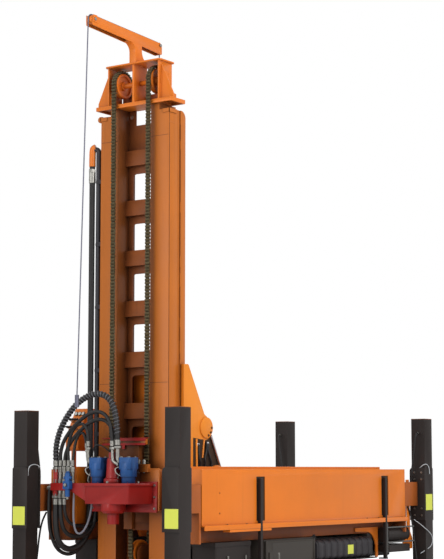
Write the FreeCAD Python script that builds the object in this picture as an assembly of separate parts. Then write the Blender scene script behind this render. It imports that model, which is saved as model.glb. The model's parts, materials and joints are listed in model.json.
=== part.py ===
import FreeCAD
import Part
import math
import os

# Crawler water well drilling rig, standing with its mast upright.
# Frame: +X forward (mast end), +Y to the machine's left, +Z up; the origin lies on the
# ground below the middle of the machine. Millimetres.

V = FreeCAD.Vector

# ---------------------------------------------------------------- driving dimensions
# Support legs
LEG_FRONT_X = 2250
LEG_REAR_X = -2300
LEG_Y = 910
LEG_TUBE = 167
LEG_WALL = 12
LEG_TOP = 2140
LEG_BOTTOM = 300
LEG_CAP = 12
RAM_SIDE = 120
RAM_TOP = 1900
COLLAR_TALL = 80
COLLAR_STEP = 500
BRACKET_SPREAD = 20
PAD_NECK = 75
PAD_NECK_TALL = 25
PAD_RADIUS = 150
PAD_THICK = 30
PLATE_OUT = 14
BRACKET_TOP = 1600
BRACKET_LOW = 1020
ARM_LOW = 1180
ARM_TOP = 1440
ARM_WIDTH = 100
ARM_INSET = 5

# Tracks
TRACK_MID_X = -100
TRACK_MID_Y = 750
TRACK_WIDTH = 400
TRACK_LENGTH = 2900
TRACK_HEIGHT = 620
SHOE_COUNT = 48
SHOE_THICK = 22
GROUSER = 26
FRAME_WIDTH = 200
FRAME_LOW = 200
FRAME_TOP = 400
GUIDE_WHEEL_HALF = 40
WHEEL_HUB_SHARE = 0.55
WHEEL_HUB_OUT = 20
ROLLER_COUNT = 6
ROLLER_RADIUS = 90
ROLLER_INSET = 5
CARRIER_ROLLER = 60
CARRIER_ROLLER_INSET = 20

# Chassis
BEAM_IN = 220
BEAM_OUT = 300
BEAM_LOW = 645
BEAM_TOP = 900
CHASSIS_REAR = -2100
CHASSIS_FRONT = 1000
PLATE = 12
DECK_HALF = 540
FENDER_OUT = 890
SIDE_BEAM_IN = 640
SIDE_BEAM_OUT = 740
FENDER_REAR = -1320
FENDER_FRONT = 820
SLOT_REAR = 20
SLOT_FRONT = 480
END_GAP = 5
END_PLATE = 30
CROSS_LOW = 800
CROSS_XS = (-2050, -1420, 900)
CROSS_HALF = 50
AXLE_XS = (-920, 520)
AXLE_DEEP = 200
AXLE_LOW = 340
AXLE_TOP = 540
TOW_HOLE = 22
TOW_HALF = 45
TOW_REACH = 90
TOW_THICK = 30
LUG_HALF = 60
LUG_PLATE = 22

# Rod trays
TRAY_FRONT = 1880
TRAY_REAR = -1905
TRAY_OUT = 910
TRAY_IN = 585
TRAY_LOW = 1060
TRAY_TOP = 1580
TRAY_IN_TOP = 1606
LIP_OUT = 36
LIP_LOW = 1020
SLOT_WIDTH = 145
SLOT_LOW = 1090
SLOT_TOP = 1510
SLOT_FRONTS = (990, -1395)
POST_SIDE = 60

# Mast
MAST_FRONT = 1750
MAST_REAR = 1485
MAST_HALF = 420
GAP_HALF = 200
MAST_FOOT = 200
MAST_TOP = 5100
SHOULDER_IN = 300
SHOULDER_DROP = 60
GROOVE_FRONT = 1620
GROOVE_REAR = 1566
GROOVE_DEPTH = 12
LADDER_X = 1570
WINDOW_PITCH = 495
WINDOW_HALF = 150
WINDOW_TALL = 270
WINDOW_DROP = 904
BAR_TALL = 150
BAR_DEPTH = 58
WINDOW_ROWS = 9
NOTCH_RIGHT = 116
NOTCH_TALL = 150
HAND_HOLE_Y = 170
HAND_HOLE_DROP = 60
HAND_HOLE_RADIUS = 20

# Mast head and jib, measured up from the mast's top
HEAD_BASE_HALF = 465
HEAD_TOP_HALF = 317
HEAD_FRONT = 1780
HEAD_REAR = 1550
HEAD_STEP = 20
HEAD_BASE_THICK = 40
HEAD_TOP_Z = MAST_TOP + 430
HEAD_PLATE = 16
DIVIDER_HALF = 12
TOP_OVERHANG = 25
TOP_CORNER = 30
GUSSET_INSET = 35
REAR_LUG = 55
JIB_REAR = 1370
JIB_TIP = 2450
JIB_REAR_Z = HEAD_TOP_Z + 210
JIB_CLIMB = 60
JIB_TIP_Z = JIB_REAR_Z + JIB_CLIMB
JIB_TALL = 112
JIB_WIDTH = 80
JIB_WALL = 8
FOOT_FRONT = 1790
FOOT_REAR = 1560
FOOT_NECK = 1693
ROLLER_PIN = 8

# Feed chains and their wheels
WHEEL_X = 1670
WHEEL_Z = MAST_TOP + 240
WHEEL_RADIUS = 125
WHEEL_WIDTH = 44
WHEEL_WEB = 12
RIM_IN = 100
HUB_RADIUS = 45
HUB_HALF = 30
AXLE_RADIUS = 25
CHAIN_Y = 213
CHAIN_WIDTH = 50
CHAIN_THICK = 30
CHAIN_LOW = 1290
LINK_PITCH = 50.8
LINK_NOTCH = 7
FOOT_WHEEL_Z = 790
FOOT_SLOT = 160
FOOT_CHAIN_Y = 30
FOOT_CHAIN_TOP = 1060
FOOT_CHAIN_END = 1300
CHEEK_REACH = 80
CHEEK_PLATE = 10

# Hoist winch and rope
WINCH_X = 1400
WINCH_Z = 720
WINCH_DRUM = 75
DRUM_HALF = 160
WINCH_PLATE = 14
WINCH_TALL = 140
WINCH_MOTOR = 60
WINCH_MOTOR_LONG = 116
ROPE_RADIUS = 6
ROPE_LIFT = 10
ROPE_BENDS = (36, 50)
HOOK_Z = 2260
HOOK_LONG = 110
HOOK_RADIUS = 20
HOSE_SIDES = 8
PIPE_SIDES = 12
BEND_SHARE = 0.45

# Rod clamp at the mast's foot
CLAMP_LOW = 250
CLAMP_TOP = 410
CLAMP_PLATE = 28
CLAMP_REACH = 130
CLAMP_HALF = 200
GUIDE_RADIUS = 75
JAW_CYLINDER = 48

# Mast carrier and tilt
PIVOT_X = 1070
PIVOT_Z = 1500
PIVOT_PIN = 40
RUN_FIT = 0.08
CARRIER_IN = 430
CARRIER_PLATE = 30
KNUCKLE_X = 1200
KNUCKLE_Z = 1980
KNUCKLE_RADIUS = 100
CARRIER_TOP = 2580
BRACKET_IN = 480
CLAW_LOWS = (1450, 1930)
CLAW_TALL = 150
CLAW_PLAY = 5
CARRIER_FRONT = 1560
CARRIER_TUBE = 60
KNUCKLE_BOSS = 15
BACK_X = 1440
BACK_PLATE = 25
BACK_LOW = 1750
BACK_TOP = 2560
SHOE_IN = 260
SHOE_OUT = 400
RIB_Y = 100
RIB_PLATE = 20
RIB_TALL = 300
BRACKET_PLATE = 30
BRACKET_REAR = 700
BRACKET_REACH = 120
BRACKET_NECK = 150

# Lift cylinders
CYL_Y = 378
CYL_BASE_X = 100
CYL_BASE_Z = 620
BARREL_RADIUS = 45
ROD_RADIUS = 28
CYL_PIN = 25
BARREL_EYE = 48
BARREL_EYE_HALF = 35
WELL_START = 70
GLAND_LONG = 100
ROD_EYE = 45
ROD_EYE_HALF = 30
ROD_PIN = 22
ROD_HIDDEN = 120
BARREL_LENGTH = 960

# Drill head
AXIS_X = 2040
SPINDLE_RADIUS = 56
SPINDLE_LOW = 1070
SOCKET_RADIUS = 38
SOCKET_DEPTH = 80
BORE_TOP = 1285
FLANGE_RADIUS = 117
FLANGE_LOW = 1170
CARRIAGE_X = 1845
CARRIAGE_PLATE = 30
CARRIAGE_HALF = 415
CARRIAGE_LOW = 1190
CARRIAGE_MID = 1590
CARRIAGE_TOP = 1868
NECK_HALF = 170
CROSSBAR_HALF = 255
CROSSBAR_TALL = 56
PAD_IN = 250
PAD_OUT = 390
TONGUE_REAR = 1655
TONGUE_SLOT = 85
TONGUE_HALF = NECK_HALF
ANCHOR_DEEP = 30
ANCHOR_IN = 190
ANCHOR_OUT = 305
ANCHOR_TALL = 75
FORK_REAR = 1800
FORK_DROP = 170
FORK_HALF = 48
FORK_PLAY = 6
GEARBOX_LOW = 1258
GEARBOX_TOP = 1450
GEARBOX_BACK = 1875.3
GEARBOX_FRONT = 2150
CASE_CREASE = 260
CASE_END = 350
CASE_CORNER_X = 1940
MOUNT_HALF = 398
MOUNT_PLATE = 18
LIP_TALL = 26
LIP_REACH = 15
MOTOR_Y = 180
MOTOR_RADIUS = 78
MOTOR_TOP = 1690
SWIVEL_TOP = 1740
MANIFOLD_END = 700
MANIFOLD_LOW = 1380
MANIFOLD_X = 2095
MANIFOLD_DEPTH = 70

# Pipes and hoses on the mast
PIPE_RADIUS = 26
PIPE_LOW = 1300
PIPE_TOP = MAST_TOP - 500
BIG_PIPE = (1718, -474)
SMALL_PIPE = (1655, -468)
HOSE_X = 1740
HOSE_Y = -538
HOSE_TOP = PIPE_TOP - 40
GOOSE_RISE = 130
GOOSE_BEND = 32
SMALL_PIPE_TOP = MAST_TOP - 800
SMALL_PIPE_RADIUS = 20
CLIP_COUNT = 5
CLIP_LOW = 1900
CLIP_PITCH = 620
CLIP_TALL = 40
CLIP_REACH = 30
PORT_YS = (-660, -604, -554, -504, -454)
PORT_TALL = 130
PORT_WALL = 2
STUB_TALL = 50
DIP_SHARE = 0.48
ARCH_SHARE = 0.48
LEG_SHARE = 0.95
# motor end x and y, top and radius, for each port
HEAD_HOSES = ((2040, 225, 2220, 25), (2040, 180, 2075, 18), (2040, 130, 2006, 18),
              (2040, -150, 1960, 16), (2040, -200, 1895, 14))
# lowest point and radius, for the first three ports
SUPPLY_HOSES = ((850, 29), (960, 20), (1060, 16))

# Tool cabinet
CABINET_FRONT = 790
CABINET_REAR = -90
CABINET_IN = 500
CABINET_OUT = 858
CABINET_TOP = 900
CABINET_WALL = 15
DOOR_LOW = 670
DOOR_TOP = 888
DOOR_GAP = 6
HINGE = (-82, 880)
HINGE_PIN = 5

# Engine deck
ENGINE_FRONT = -300
ENGINE_REAR = -1250
ENGINE_HALF = 280
ENGINE_TOP = 1420
OIL_REAR = -2050
OIL_FRONT = -1580
OIL_HALF = 400
OIL_TOP = 1450
NECK_INSET = 120
NECK_TALL = 45
NECK_RADIUS = 50
COOLER_REAR = -1460
COOLER_FRONT = -1340
COOLER_HALF = 330
COOLER_TOP = 1480
FAN_FRONT = -1300
FAN_RADIUS = 240
GRILLE_EDGE = 30
GRILLE_SLATS = 12
GRILLE_DEEP = 20
SILENCER_REAR = -1100
SILENCER_FRONT = -550
SILENCER_Y = 150
SILENCER_RADIUS = 65
EXHAUST_REACH = 110
EXHAUST_END = 440
EXHAUST_RADIUS = 28
CLEANER_REAR = -1050
CLEANER_FRONT = -650
CLEANER_Y = -140
CLEANER_RADIUS = 85
DUCT_LONG = 170
DUCT_RADIUS = 45

# Fuel tank
TANK_REAR = -1280
TANK_FRONT = -170
TANK_IN = 553
TANK_OUT = 862
TANK_TOP = 862
TANK_RIBS = 9
RIB_HIGH = 8

# Operator's console
CONSOLE_REAR = 1260
CONSOLE_FRONT = 1680
CONSOLE_IN = 740
CONSOLE_OUT = 900
CONSOLE_LOW = 1760
CONSOLE_TOP = 2180
CONSOLE_LIP = 140
CONSOLE_SLOPE = 150
POST_OUT = 62
POST_SINK = 30
STAND_RISE = 40
STAND_RADIUS = 25
STAND_SHOE = 30

SEAT = 0.3


# ---------------------------------------------------------------- shape helpers
def block(x0, x1, y0, y1, z0, z1):
    """Box between two corners given in any order."""
    low = V(min(x0, x1), min(y0, y1), min(z0, z1))
    return Part.makeBox(abs(x1 - x0), abs(y1 - y0), abs(z1 - z0), low)


def rod(start, end, radius):
    """Round bar from one point to another."""
    way = V(*end) - V(*start)
    return Part.makeCylinder(radius, way.Length, V(*start), way)


def disc(x, z, radius, y0, y1):
    """Round plate lying across the machine."""
    return Part.makeCylinder(radius, abs(y1 - y0), V(x, min(y0, y1), z), V(0, 1, 0))


def rounded(points):
    """Closed wire through corner points (vector, corner radius)."""
    edges = []
    ends = []
    count = len(points)
    for i in range(count):
        corner, radius = points[i]
        before = (points[i - 1][0] - corner).normalize()
        after = (points[(i + 1) % count][0] - corner).normalize()
        if radius <= 0:
            ends.append((corner, corner))
            continue
        half = before.getAngle(after) / 2
        reach = radius / math.tan(half)
        start = corner + before * reach
        stop = corner + after * reach
        middle_way = (before + after).normalize()
        centre = corner + middle_way * (radius / math.sin(half))
        edges.append(Part.Arc(start, centre - middle_way * radius, stop).toShape())
        ends.append((start, stop))
    for i in range(count):
        a = ends[i][1]
        b = ends[(i + 1) % count][0]
        if a.distanceToPoint(b) > 1e-6:
            edges.append(Part.LineSegment(a, b).toShape())
    return Part.Wire(Part.__sortEdges__(edges))


def side_plate(outline, y0, y1):
    """Plate with an outline of (x, z, radius) corners, between two y values."""
    low = min(y0, y1)
    wire = rounded([(V(x, low, z), r) for x, z, r in outline])
    return Part.Face(wire).extrude(V(0, abs(y1 - y0), 0))


def front_plate(outline, x0, x1):
    """Plate with an outline of (y, z, radius) corners, between two x values."""
    low = min(x0, x1)
    wire = rounded([(V(low, y, z), r) for y, z, r in outline])
    return Part.Face(wire).extrude(V(abs(x1 - x0), 0, 0))


def flat_plate(outline, z0, z1):
    """Plate with an outline of (x, y, radius) corners, between two heights."""
    low = min(z0, z1)
    wire = rounded([(V(x, y, low), r) for x, y, r in outline])
    return Part.Face(wire).extrude(V(0, 0, abs(z1 - z0)))


def ring_of(centre, way, radius, sides):
    """Closed section across a path: a circle, or a polygon of a few sides for hoses."""
    if not sides:
        return Part.Wire([Part.Circle(centre, way, radius).toShape()])
    way = V(way).normalize()
    across = way.cross(V(0, 0, 1) if abs(way.z) < 0.9 else V(1, 0, 0)).normalize()
    other = way.cross(across)
    turns = [2 * math.pi * i / sides for i in range(sides + 1)]
    return Part.makePolygon([centre + across * (radius * math.cos(t)) + other * (radius * math.sin(t))
                             for t in turns])


def bend_centre(before, corner, after, bend):
    """Centre of the arc of a given radius that rounds a corner of a path."""
    back = (before - corner).normalize()
    ahead = (after - corner).normalize()
    half = back.getAngle(ahead) / 2
    return corner + (back + ahead).normalize() * (bend / math.sin(half))


def hose(points, radius, bends=None, sides=HOSE_SIDES):
    """Hose along straight runs joined by tangent arcs, as large as the runs allow."""
    corners = [V(*p) for p in points]
    edges = []
    at = corners[0]
    for i in range(1, len(corners) - 1):
        back = corners[i - 1] - corners[i]
        ahead = corners[i + 1] - corners[i]
        shorter = min(back.Length, ahead.Length)
        back.normalize()
        ahead.normalize()
        half = back.getAngle(ahead) / 2
        bend = bends[i - 1] if bends else BEND_SHARE * shorter * math.tan(half)
        reach = bend / math.tan(half)
        start = corners[i] + back * reach
        stop = corners[i] + ahead * reach
        centre = bend_centre(corners[i - 1], corners[i], corners[i + 1], bend)
        middle = centre - (back + ahead).normalize() * bend
        edges.append(Part.LineSegment(at, start).toShape())
        edges.append(Part.Arc(start, middle, stop).toShape())
        at = stop
    edges.append(Part.LineSegment(at, corners[-1]).toShape())
    section = ring_of(corners[0], corners[1] - corners[0], radius, sides)
    return Part.Wire(edges).makePipeShell([section], True, False)


def spun(profile, x, z, y=0):
    """Body of revolution about an axle across the machine, from (radius, y) points."""
    points = [V(x + r, y + t, z) for r, t in profile]
    face = Part.Face(Part.makePolygon(points + [points[0]]))
    return face.revolve(V(x, y, z), V(0, 1, 0), 360)


def turned(profile, x, y):
    """Body of revolution about an upright line, from (radius, height) points."""
    points = [V(x + r, y, z) for r, z in profile]
    face = Part.Face(Part.makePolygon(points + [points[0]]))
    return face.revolve(V(x, y, 0), V(0, 0, 1), 360)


def fuse(*shapes):
    """Join solids into one."""
    body = shapes[0].multiFuse(list(shapes[1:])) if len(shapes) > 1 else shapes[0]
    return body.removeSplitter()


def both_sides(shape):
    """The shape and its copy on the other side of the machine."""
    return [shape, shape.mirror(V(0, 0, 0), V(0, 1, 0))]


def sided(shape, side):
    """The left-hand shape itself, or its copy on the right."""
    return shape if side > 0 else shape.mirror(V(0, 0, 0), V(0, 1, 0))


def export(name, *shapes):
    """Write one sub-part."""
    shape = shapes[0] if len(shapes) == 1 else Part.makeCompound(list(shapes))
    shape.exportStep("parts/" + name + ".step")


# ---------------------------------------------------------------- undercarriage
def track_loop():
    """Closed track of grouser shoes about the left track frame."""
    radius = TRACK_HEIGHT / 2 - GROUSER
    straight = TRACK_LENGTH - TRACK_HEIGHT
    turn = math.pi * radius
    around = 2 * straight + 2 * turn
    pitch = around / SHOE_COUNT

    def place(distance, height):
        """Point at a distance along the shoes' back and a height above it."""
        distance = distance % around
        r = radius + height
        front = TRACK_MID_X + straight / 2
        rear = TRACK_MID_X - straight / 2
        mid_z = TRACK_HEIGHT / 2
        if distance < straight:
            return (rear + distance, mid_z + r, 0)
        distance -= straight
        if distance < turn:
            angle = math.pi / 2 - distance / radius
            return (front + r * math.cos(angle), mid_z + r * math.sin(angle), 0)
        distance -= turn
        if distance < straight:
            return (front - distance, mid_z - r, 0)
        angle = -math.pi / 2 - (distance - straight) / radius
        return (rear + r * math.cos(angle), mid_z + r * math.sin(angle), 0)

    outline = []
    for i in range(SHOE_COUNT):
        start = i * pitch
        outline.append(place(start, 0))
        outline.append(place(start + 0.62 * pitch, 0))
        outline.append(place(start + 0.66 * pitch, GROUSER))
        outline.append(place(start + 0.78 * pitch, GROUSER))
        outline.append(place(start + 0.82 * pitch, 0))
    loop = side_plate(outline, TRACK_MID_Y - TRACK_WIDTH / 2, TRACK_MID_Y + TRACK_WIDTH / 2)
    inner = radius - SHOE_THICK
    hole = stadium(inner, straight, TRACK_MID_Y - TRACK_WIDTH, TRACK_MID_Y + TRACK_WIDTH)
    return loop.cut(hole)


def stadium(radius, straight, y0, y1):
    """Long round-ended block about the track's middle."""
    half = straight / 2
    mid_z = TRACK_HEIGHT / 2
    body = block(TRACK_MID_X - half, TRACK_MID_X + half, y0, y1, mid_z - radius, mid_z + radius)
    front = disc(TRACK_MID_X + half, mid_z, radius, y0, y1)
    rear = disc(TRACK_MID_X - half, mid_z, radius, y0, y1)
    return fuse(body, front, rear)


def track_frame():
    """Side frame with its idler, sprocket and rollers, inside the left track."""
    radius = TRACK_HEIGHT / 2 - GROUSER - SHOE_THICK - SEAT
    straight = TRACK_LENGTH - TRACK_HEIGHT
    mid_z = TRACK_HEIGHT / 2
    y0 = TRACK_MID_Y - FRAME_WIDTH / 2
    y1 = TRACK_MID_Y + FRAME_WIDTH / 2
    pieces = [block(TRACK_MID_X - straight / 2, TRACK_MID_X + straight / 2, y0, y1,
                    FRAME_LOW, FRAME_TOP)]
    for end in (-1, 1):
        x = TRACK_MID_X + end * straight / 2
        pieces.append(disc(x, mid_z, radius, TRACK_MID_Y - GUIDE_WHEEL_HALF,
                           TRACK_MID_Y + GUIDE_WHEEL_HALF))
        pieces.append(disc(x, mid_z, radius * WHEEL_HUB_SHARE, y0 - WHEEL_HUB_OUT,
                           y1 + WHEEL_HUB_OUT))
        x = TRACK_MID_X + end * straight / 5
        z = mid_z + radius - CARRIER_ROLLER
        pieces.append(disc(x, z, CARRIER_ROLLER, y0 + CARRIER_ROLLER_INSET,
                           y1 - CARRIER_ROLLER_INSET))
        pieces.append(block(x - CARRIER_ROLLER / 2, x + CARRIER_ROLLER / 2,
                            y0 + 2 * CARRIER_ROLLER_INSET, y1 - 2 * CARRIER_ROLLER_INSET, mid_z, z))
    for i in range(ROLLER_COUNT):
        x = TRACK_MID_X + straight * ((i + 0.5) / ROLLER_COUNT - 0.5)
        pieces.append(disc(x, mid_z - radius + ROLLER_RADIUS, ROLLER_RADIUS, y0 + ROLLER_INSET,
                           y1 - ROLLER_INSET))
    return fuse(*pieces)


# ---------------------------------------------------------------- chassis
def chassis_frame():
    """Main beams, cross beams and axle tubes with the tow lug and lift lugs."""
    beams = [block(x - CROSS_HALF, x + CROSS_HALF, -SIDE_BEAM_OUT, SIDE_BEAM_OUT,
                   CROSS_LOW + SEAT, BEAM_TOP) for x in CROSS_XS]
    beams += both_sides(block(CHASSIS_REAR, CHASSIS_FRONT, BEAM_IN, BEAM_OUT, BEAM_LOW, CROSS_LOW))
    reach = TRACK_MID_Y - FRAME_WIDTH / 2 - SEAT
    for x in AXLE_XS:
        tube = block(x, x + AXLE_DEEP, -reach, reach, AXLE_LOW, AXLE_TOP)
        posts = both_sides(block(x, x + AXLE_DEEP, BEAM_IN, BEAM_OUT, AXLE_TOP, BEAM_LOW - SEAT))
        beams.append(fuse(tube, *posts))
    return beams + [tow_lug()] + both_sides(lift_lug())


def tow_lug():
    """Towing eye at the rear of the frame."""
    x = CROSS_XS[0] - CROSS_HALF - SEAT
    z = (CROSS_LOW + BEAM_TOP) / 2
    far = x - TOW_REACH
    lug = side_plate([(x, z - TOW_HALF, 0), (x, z + TOW_HALF, 0),
                      (far, z + TOW_HALF, TOW_HALF - 1), (far, z - TOW_HALF, TOW_HALF - 1)],
                     -TOW_THICK / 2, TOW_THICK / 2)
    return lug.cut(disc(far + TOW_HALF, z, TOW_HOLE, -TOW_THICK, TOW_THICK))


def lift_lug():
    """Pair of plates and the pin that hold the left lift cylinder's foot."""
    half = LUG_HALF
    low = CYL_BASE_Z - half
    outline = [(CYL_BASE_X - half, low, half - 20), (CYL_BASE_X + half, low, half - 20),
               (CYL_BASE_X + half, CROSS_LOW - half, 0), (CYL_BASE_X - half, CROSS_LOW - half, 0)]
    inner = BEAM_OUT + SEAT
    outer = CARRIER_IN + LUG_PLATE
    pin = disc(CYL_BASE_X, CYL_BASE_Z, CYL_PIN, inner, outer)
    return fuse(side_plate(outline, inner, inner + LUG_PLATE), side_plate(outline, CARRIER_IN, outer),
                pin)


def side_frames():
    """Outer beams under the trays, with the arms that carry the support legs."""
    frames = []
    outer = LEG_Y - ARM_INSET
    for side in (-1, 1):
        beam = block(CHASSIS_REAR, TRAY_FRONT + END_GAP, side * SIDE_BEAM_IN, side * SIDE_BEAM_OUT,
                     BEAM_TOP, TRAY_LOW - SEAT)
        pieces = [beam]
        for tray_end, leg_x, way in ((TRAY_FRONT, LEG_FRONT_X, 1), (TRAY_REAR, LEG_REAR_X, -1)):
            near = tray_end + way * END_GAP
            far = near + way * END_PLATE
            seat = leg_x - way * (LEG_TUBE / 2 + PLATE_OUT + SEAT)
            pieces.append(block(near, far, side * SIDE_BEAM_IN, side * outer, BEAM_TOP, ARM_TOP))
            pieces.append(block(far, seat, side * (outer - ARM_WIDTH), side * outer,
                                ARM_LOW, ARM_TOP))
        frames.append(fuse(*pieces))
    return frames


def deck_plates():
    """Floor sheets of the deck and the fenders, open over the lift cylinders."""
    deck = (BEAM_TOP, BEAM_TOP + PLATE)
    fender = (BEAM_LOW, BEAM_LOW + PLATE)
    rear = SLOT_REAR - SEAT
    front = SLOT_FRONT + SEAT
    sheets = [block(CHASSIS_REAR, CHASSIS_FRONT, -BEAM_OUT, BEAM_OUT, *deck)]
    for side in (-1, 1):
        inner = side * (BEAM_OUT + SEAT)
        sheets.append(block(CHASSIS_REAR, rear, inner, side * DECK_HALF, *deck))
        sheets.append(block(front, CHASSIS_FRONT, inner, side * DECK_HALF, *deck))
        sheets.append(block(SLOT_REAR, SLOT_FRONT, side * CARRIER_IN, side * DECK_HALF, *deck))
        sheets.append(block(FENDER_REAR, rear, inner, side * FENDER_OUT, *fender))
        sheets.append(block(front, FENDER_FRONT, inner, side * FENDER_OUT, *fender))
        sheets.append(block(SLOT_REAR, SLOT_FRONT, side * (CARRIER_IN + LUG_PLATE + SEAT),
                            side * FENDER_OUT, *fender))
    return sheets


def mast_brackets():
    """Rounded plates that carry the mast carrier's pivot pins."""
    foot = BEAM_TOP + PLATE
    outline = [(BRACKET_REAR, foot, 0), (CHASSIS_FRONT, foot, 0),
               (PIVOT_X + BRACKET_REACH, PIVOT_Z - BRACKET_NECK, 0),
               (PIVOT_X + BRACKET_REACH, PIVOT_Z + BRACKET_REACH, BRACKET_REACH - 2),
               (PIVOT_X - BRACKET_REACH, PIVOT_Z + BRACKET_REACH, BRACKET_REACH - 2),
               (PIVOT_X - BRACKET_REACH, PIVOT_Z - BRACKET_NECK, 0)]
    brackets = []
    for side in (-1, 1):
        low = side * BRACKET_IN
        high = side * (BRACKET_IN + BRACKET_PLATE)
        bore = disc(PIVOT_X, PIVOT_Z, PIVOT_PIN + RUN_FIT, low - side, high + side)
        brackets.append(side_plate(outline, low, high).cut(bore))
    return brackets


def rod_tray():
    """Open tray for drill rods, left side."""
    floor = block(TRAY_REAR, TRAY_FRONT, TRAY_IN, TRAY_OUT, TRAY_LOW, TRAY_LOW + PLATE)
    outer = side_plate([(TRAY_REAR, TRAY_LOW, 0), (TRAY_FRONT, TRAY_LOW, 0),
                        (TRAY_FRONT, TRAY_TOP, 0), (TRAY_REAR, TRAY_TOP, 30)],
                       TRAY_OUT - PLATE, TRAY_OUT)
    inner = block(TRAY_REAR, TRAY_FRONT, TRAY_IN, TRAY_IN + PLATE, TRAY_LOW, TRAY_IN_TOP)
    front = block(TRAY_FRONT - PLATE, TRAY_FRONT, TRAY_IN, TRAY_OUT, TRAY_LOW, TRAY_TOP)
    rear = block(TRAY_REAR, TRAY_REAR + PLATE, TRAY_IN, TRAY_OUT, TRAY_LOW, TRAY_TOP)
    lip = block(TRAY_REAR, TRAY_FRONT, TRAY_OUT + LIP_OUT - PLATE, TRAY_OUT + LIP_OUT,
                LIP_LOW, TRAY_LOW + PLATE / 2)
    ledge = block(TRAY_REAR, TRAY_FRONT, TRAY_OUT - PLATE, TRAY_OUT + LIP_OUT,
                  TRAY_LOW - PLATE / 2, TRAY_LOW + PLATE / 2)
    tray = fuse(floor, outer, inner, front, rear, lip, ledge)
    for x in SLOT_FRONTS:
        tray = tray.cut(block(x - SLOT_WIDTH, x, TRAY_OUT - 2 * PLATE, TRAY_OUT + LIP_OUT + 5,
                              SLOT_LOW, SLOT_TOP))
    return tray


def tray_posts():
    """Square stakes that stand in the slots of both trays."""
    posts = []
    for x in SLOT_FRONTS:
        low = TRAY_OUT + LIP_OUT + SEAT
        post = block(x - SLOT_WIDTH + 5, x - SLOT_WIDTH + 5 + POST_SIDE, low, low + POST_SIDE,
                     LIP_LOW, SLOT_TOP)
        posts += both_sides(post)
    return posts


# ---------------------------------------------------------------- deck equipment
def tool_cabinet():
    """Cabinet under the left tray, open at its door, with the door's hinge pin."""
    low = BEAM_LOW + PLATE + SEAT
    outer = block(CABINET_REAR, CABINET_FRONT, CABINET_IN, CABINET_OUT, low, CABINET_TOP)
    inner = block(CABINET_REAR + CABINET_WALL, CABINET_FRONT - CABINET_WALL, CABINET_IN + CABINET_WALL,
                  CABINET_OUT + 1, low + CABINET_WALL, CABINET_TOP - CABINET_WALL)
    x, y = HINGE
    pieces = [outer.cut(inner), rod((x, y, DOOR_LOW - 7), (x, y, DOOR_TOP + 7), HINGE_PIN)]
    for z in (DOOR_LOW - 7, DOOR_TOP + 1):
        pieces.append(block(x - 8, x + 8, CABINET_OUT - 2, y + 8, z, z + 6))
    return fuse(*pieces)


def cabinet_door():
    """Door of the tool cabinet with its hinge knuckle and handle."""
    x, y = HINGE
    leaf = block(x, CABINET_FRONT - 5, CABINET_OUT + DOOR_GAP, y, DOOR_LOW, DOOR_TOP)
    knuckle = rod((x, y, DOOR_LOW), (x, y, DOOR_TOP), HINGE_PIN + 4)
    bore = rod((x, y, DOOR_LOW - 1), (x, y, DOOR_TOP + 1), HINGE_PIN + RUN_FIT)
    handle = block(CABINET_FRONT - 100, CABINET_FRONT - 50, y, y + 12, DOOR_LOW + 25, DOOR_LOW + 110)
    return fuse(leaf, knuckle, handle).cut(bore)


def fuel_tank():
    """Moulded tank with round corners and raised ribs, under the left tray."""
    low = BEAM_LOW + PLATE + SEAT
    skin = low + RIB_HIGH
    body = front_plate([(TANK_IN, skin, 45), (TANK_OUT, skin, 45), (TANK_OUT, TANK_TOP, 55),
                        (TANK_IN, TANK_TOP, 55)], TANK_REAR, TANK_FRONT)
    rib_outline = [(TANK_IN - RIB_HIGH, low, 50), (TANK_OUT + RIB_HIGH, low, 50),
                   (TANK_OUT + RIB_HIGH, TANK_TOP + RIB_HIGH, 60),
                   (TANK_IN - RIB_HIGH, TANK_TOP + RIB_HIGH, 60)]
    pitch = (TANK_FRONT - TANK_REAR) / TANK_RIBS
    ribs = []
    for i in range(TANK_RIBS):
        middle = TANK_REAR + (i + 0.5) * pitch
        ribs.append(front_plate(rib_outline, middle - 0.3 * pitch, middle + 0.3 * pitch))
    return fuse(body, *ribs)


def hydraulic_tank():
    """Oil tank at the rear of the deck, with its filler neck."""
    low = BEAM_TOP + PLATE + SEAT
    outline = [(-OIL_HALF, low, 20), (OIL_HALF, low, 20), (OIL_HALF, OIL_TOP, 40),
               (-OIL_HALF, OIL_TOP, 40)]
    neck = rod((OIL_REAR + NECK_INSET, OIL_HALF - NECK_INSET, OIL_TOP - PLATE),
               (OIL_REAR + NECK_INSET, OIL_HALF - NECK_INSET, OIL_TOP + NECK_TALL), NECK_RADIUS)
    return fuse(front_plate(outline, OIL_REAR, OIL_FRONT), neck)


def engine_block():
    """Diesel engine and pump as one plain block."""
    return block(ENGINE_REAR, ENGINE_FRONT, -ENGINE_HALF, ENGINE_HALF,
                 BEAM_TOP + PLATE + SEAT, ENGINE_TOP)


def radiator():
    """Cooler behind the engine, with a slatted grille to the rear and a fan ring in front."""
    low = BEAM_TOP + PLATE + SEAT
    core = block(COOLER_REAR, COOLER_FRONT, -COOLER_HALF, COOLER_HALF, low, COOLER_TOP)
    middle = (low + COOLER_TOP) / 2
    ring = rod((COOLER_FRONT, 0, middle), (FAN_FRONT, 0, middle), FAN_RADIUS)
    body = fuse(core, ring)
    pitch = (COOLER_TOP - low - 2 * GRILLE_EDGE) / GRILLE_SLATS
    for i in range(GRILLE_SLATS):
        z = low + GRILLE_EDGE + i * pitch
        body = body.cut(block(COOLER_REAR - 1, COOLER_REAR + GRILLE_DEEP, GRILLE_EDGE - COOLER_HALF,
                              COOLER_HALF - GRILLE_EDGE, z, z + 0.6 * pitch))
    return body


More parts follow.
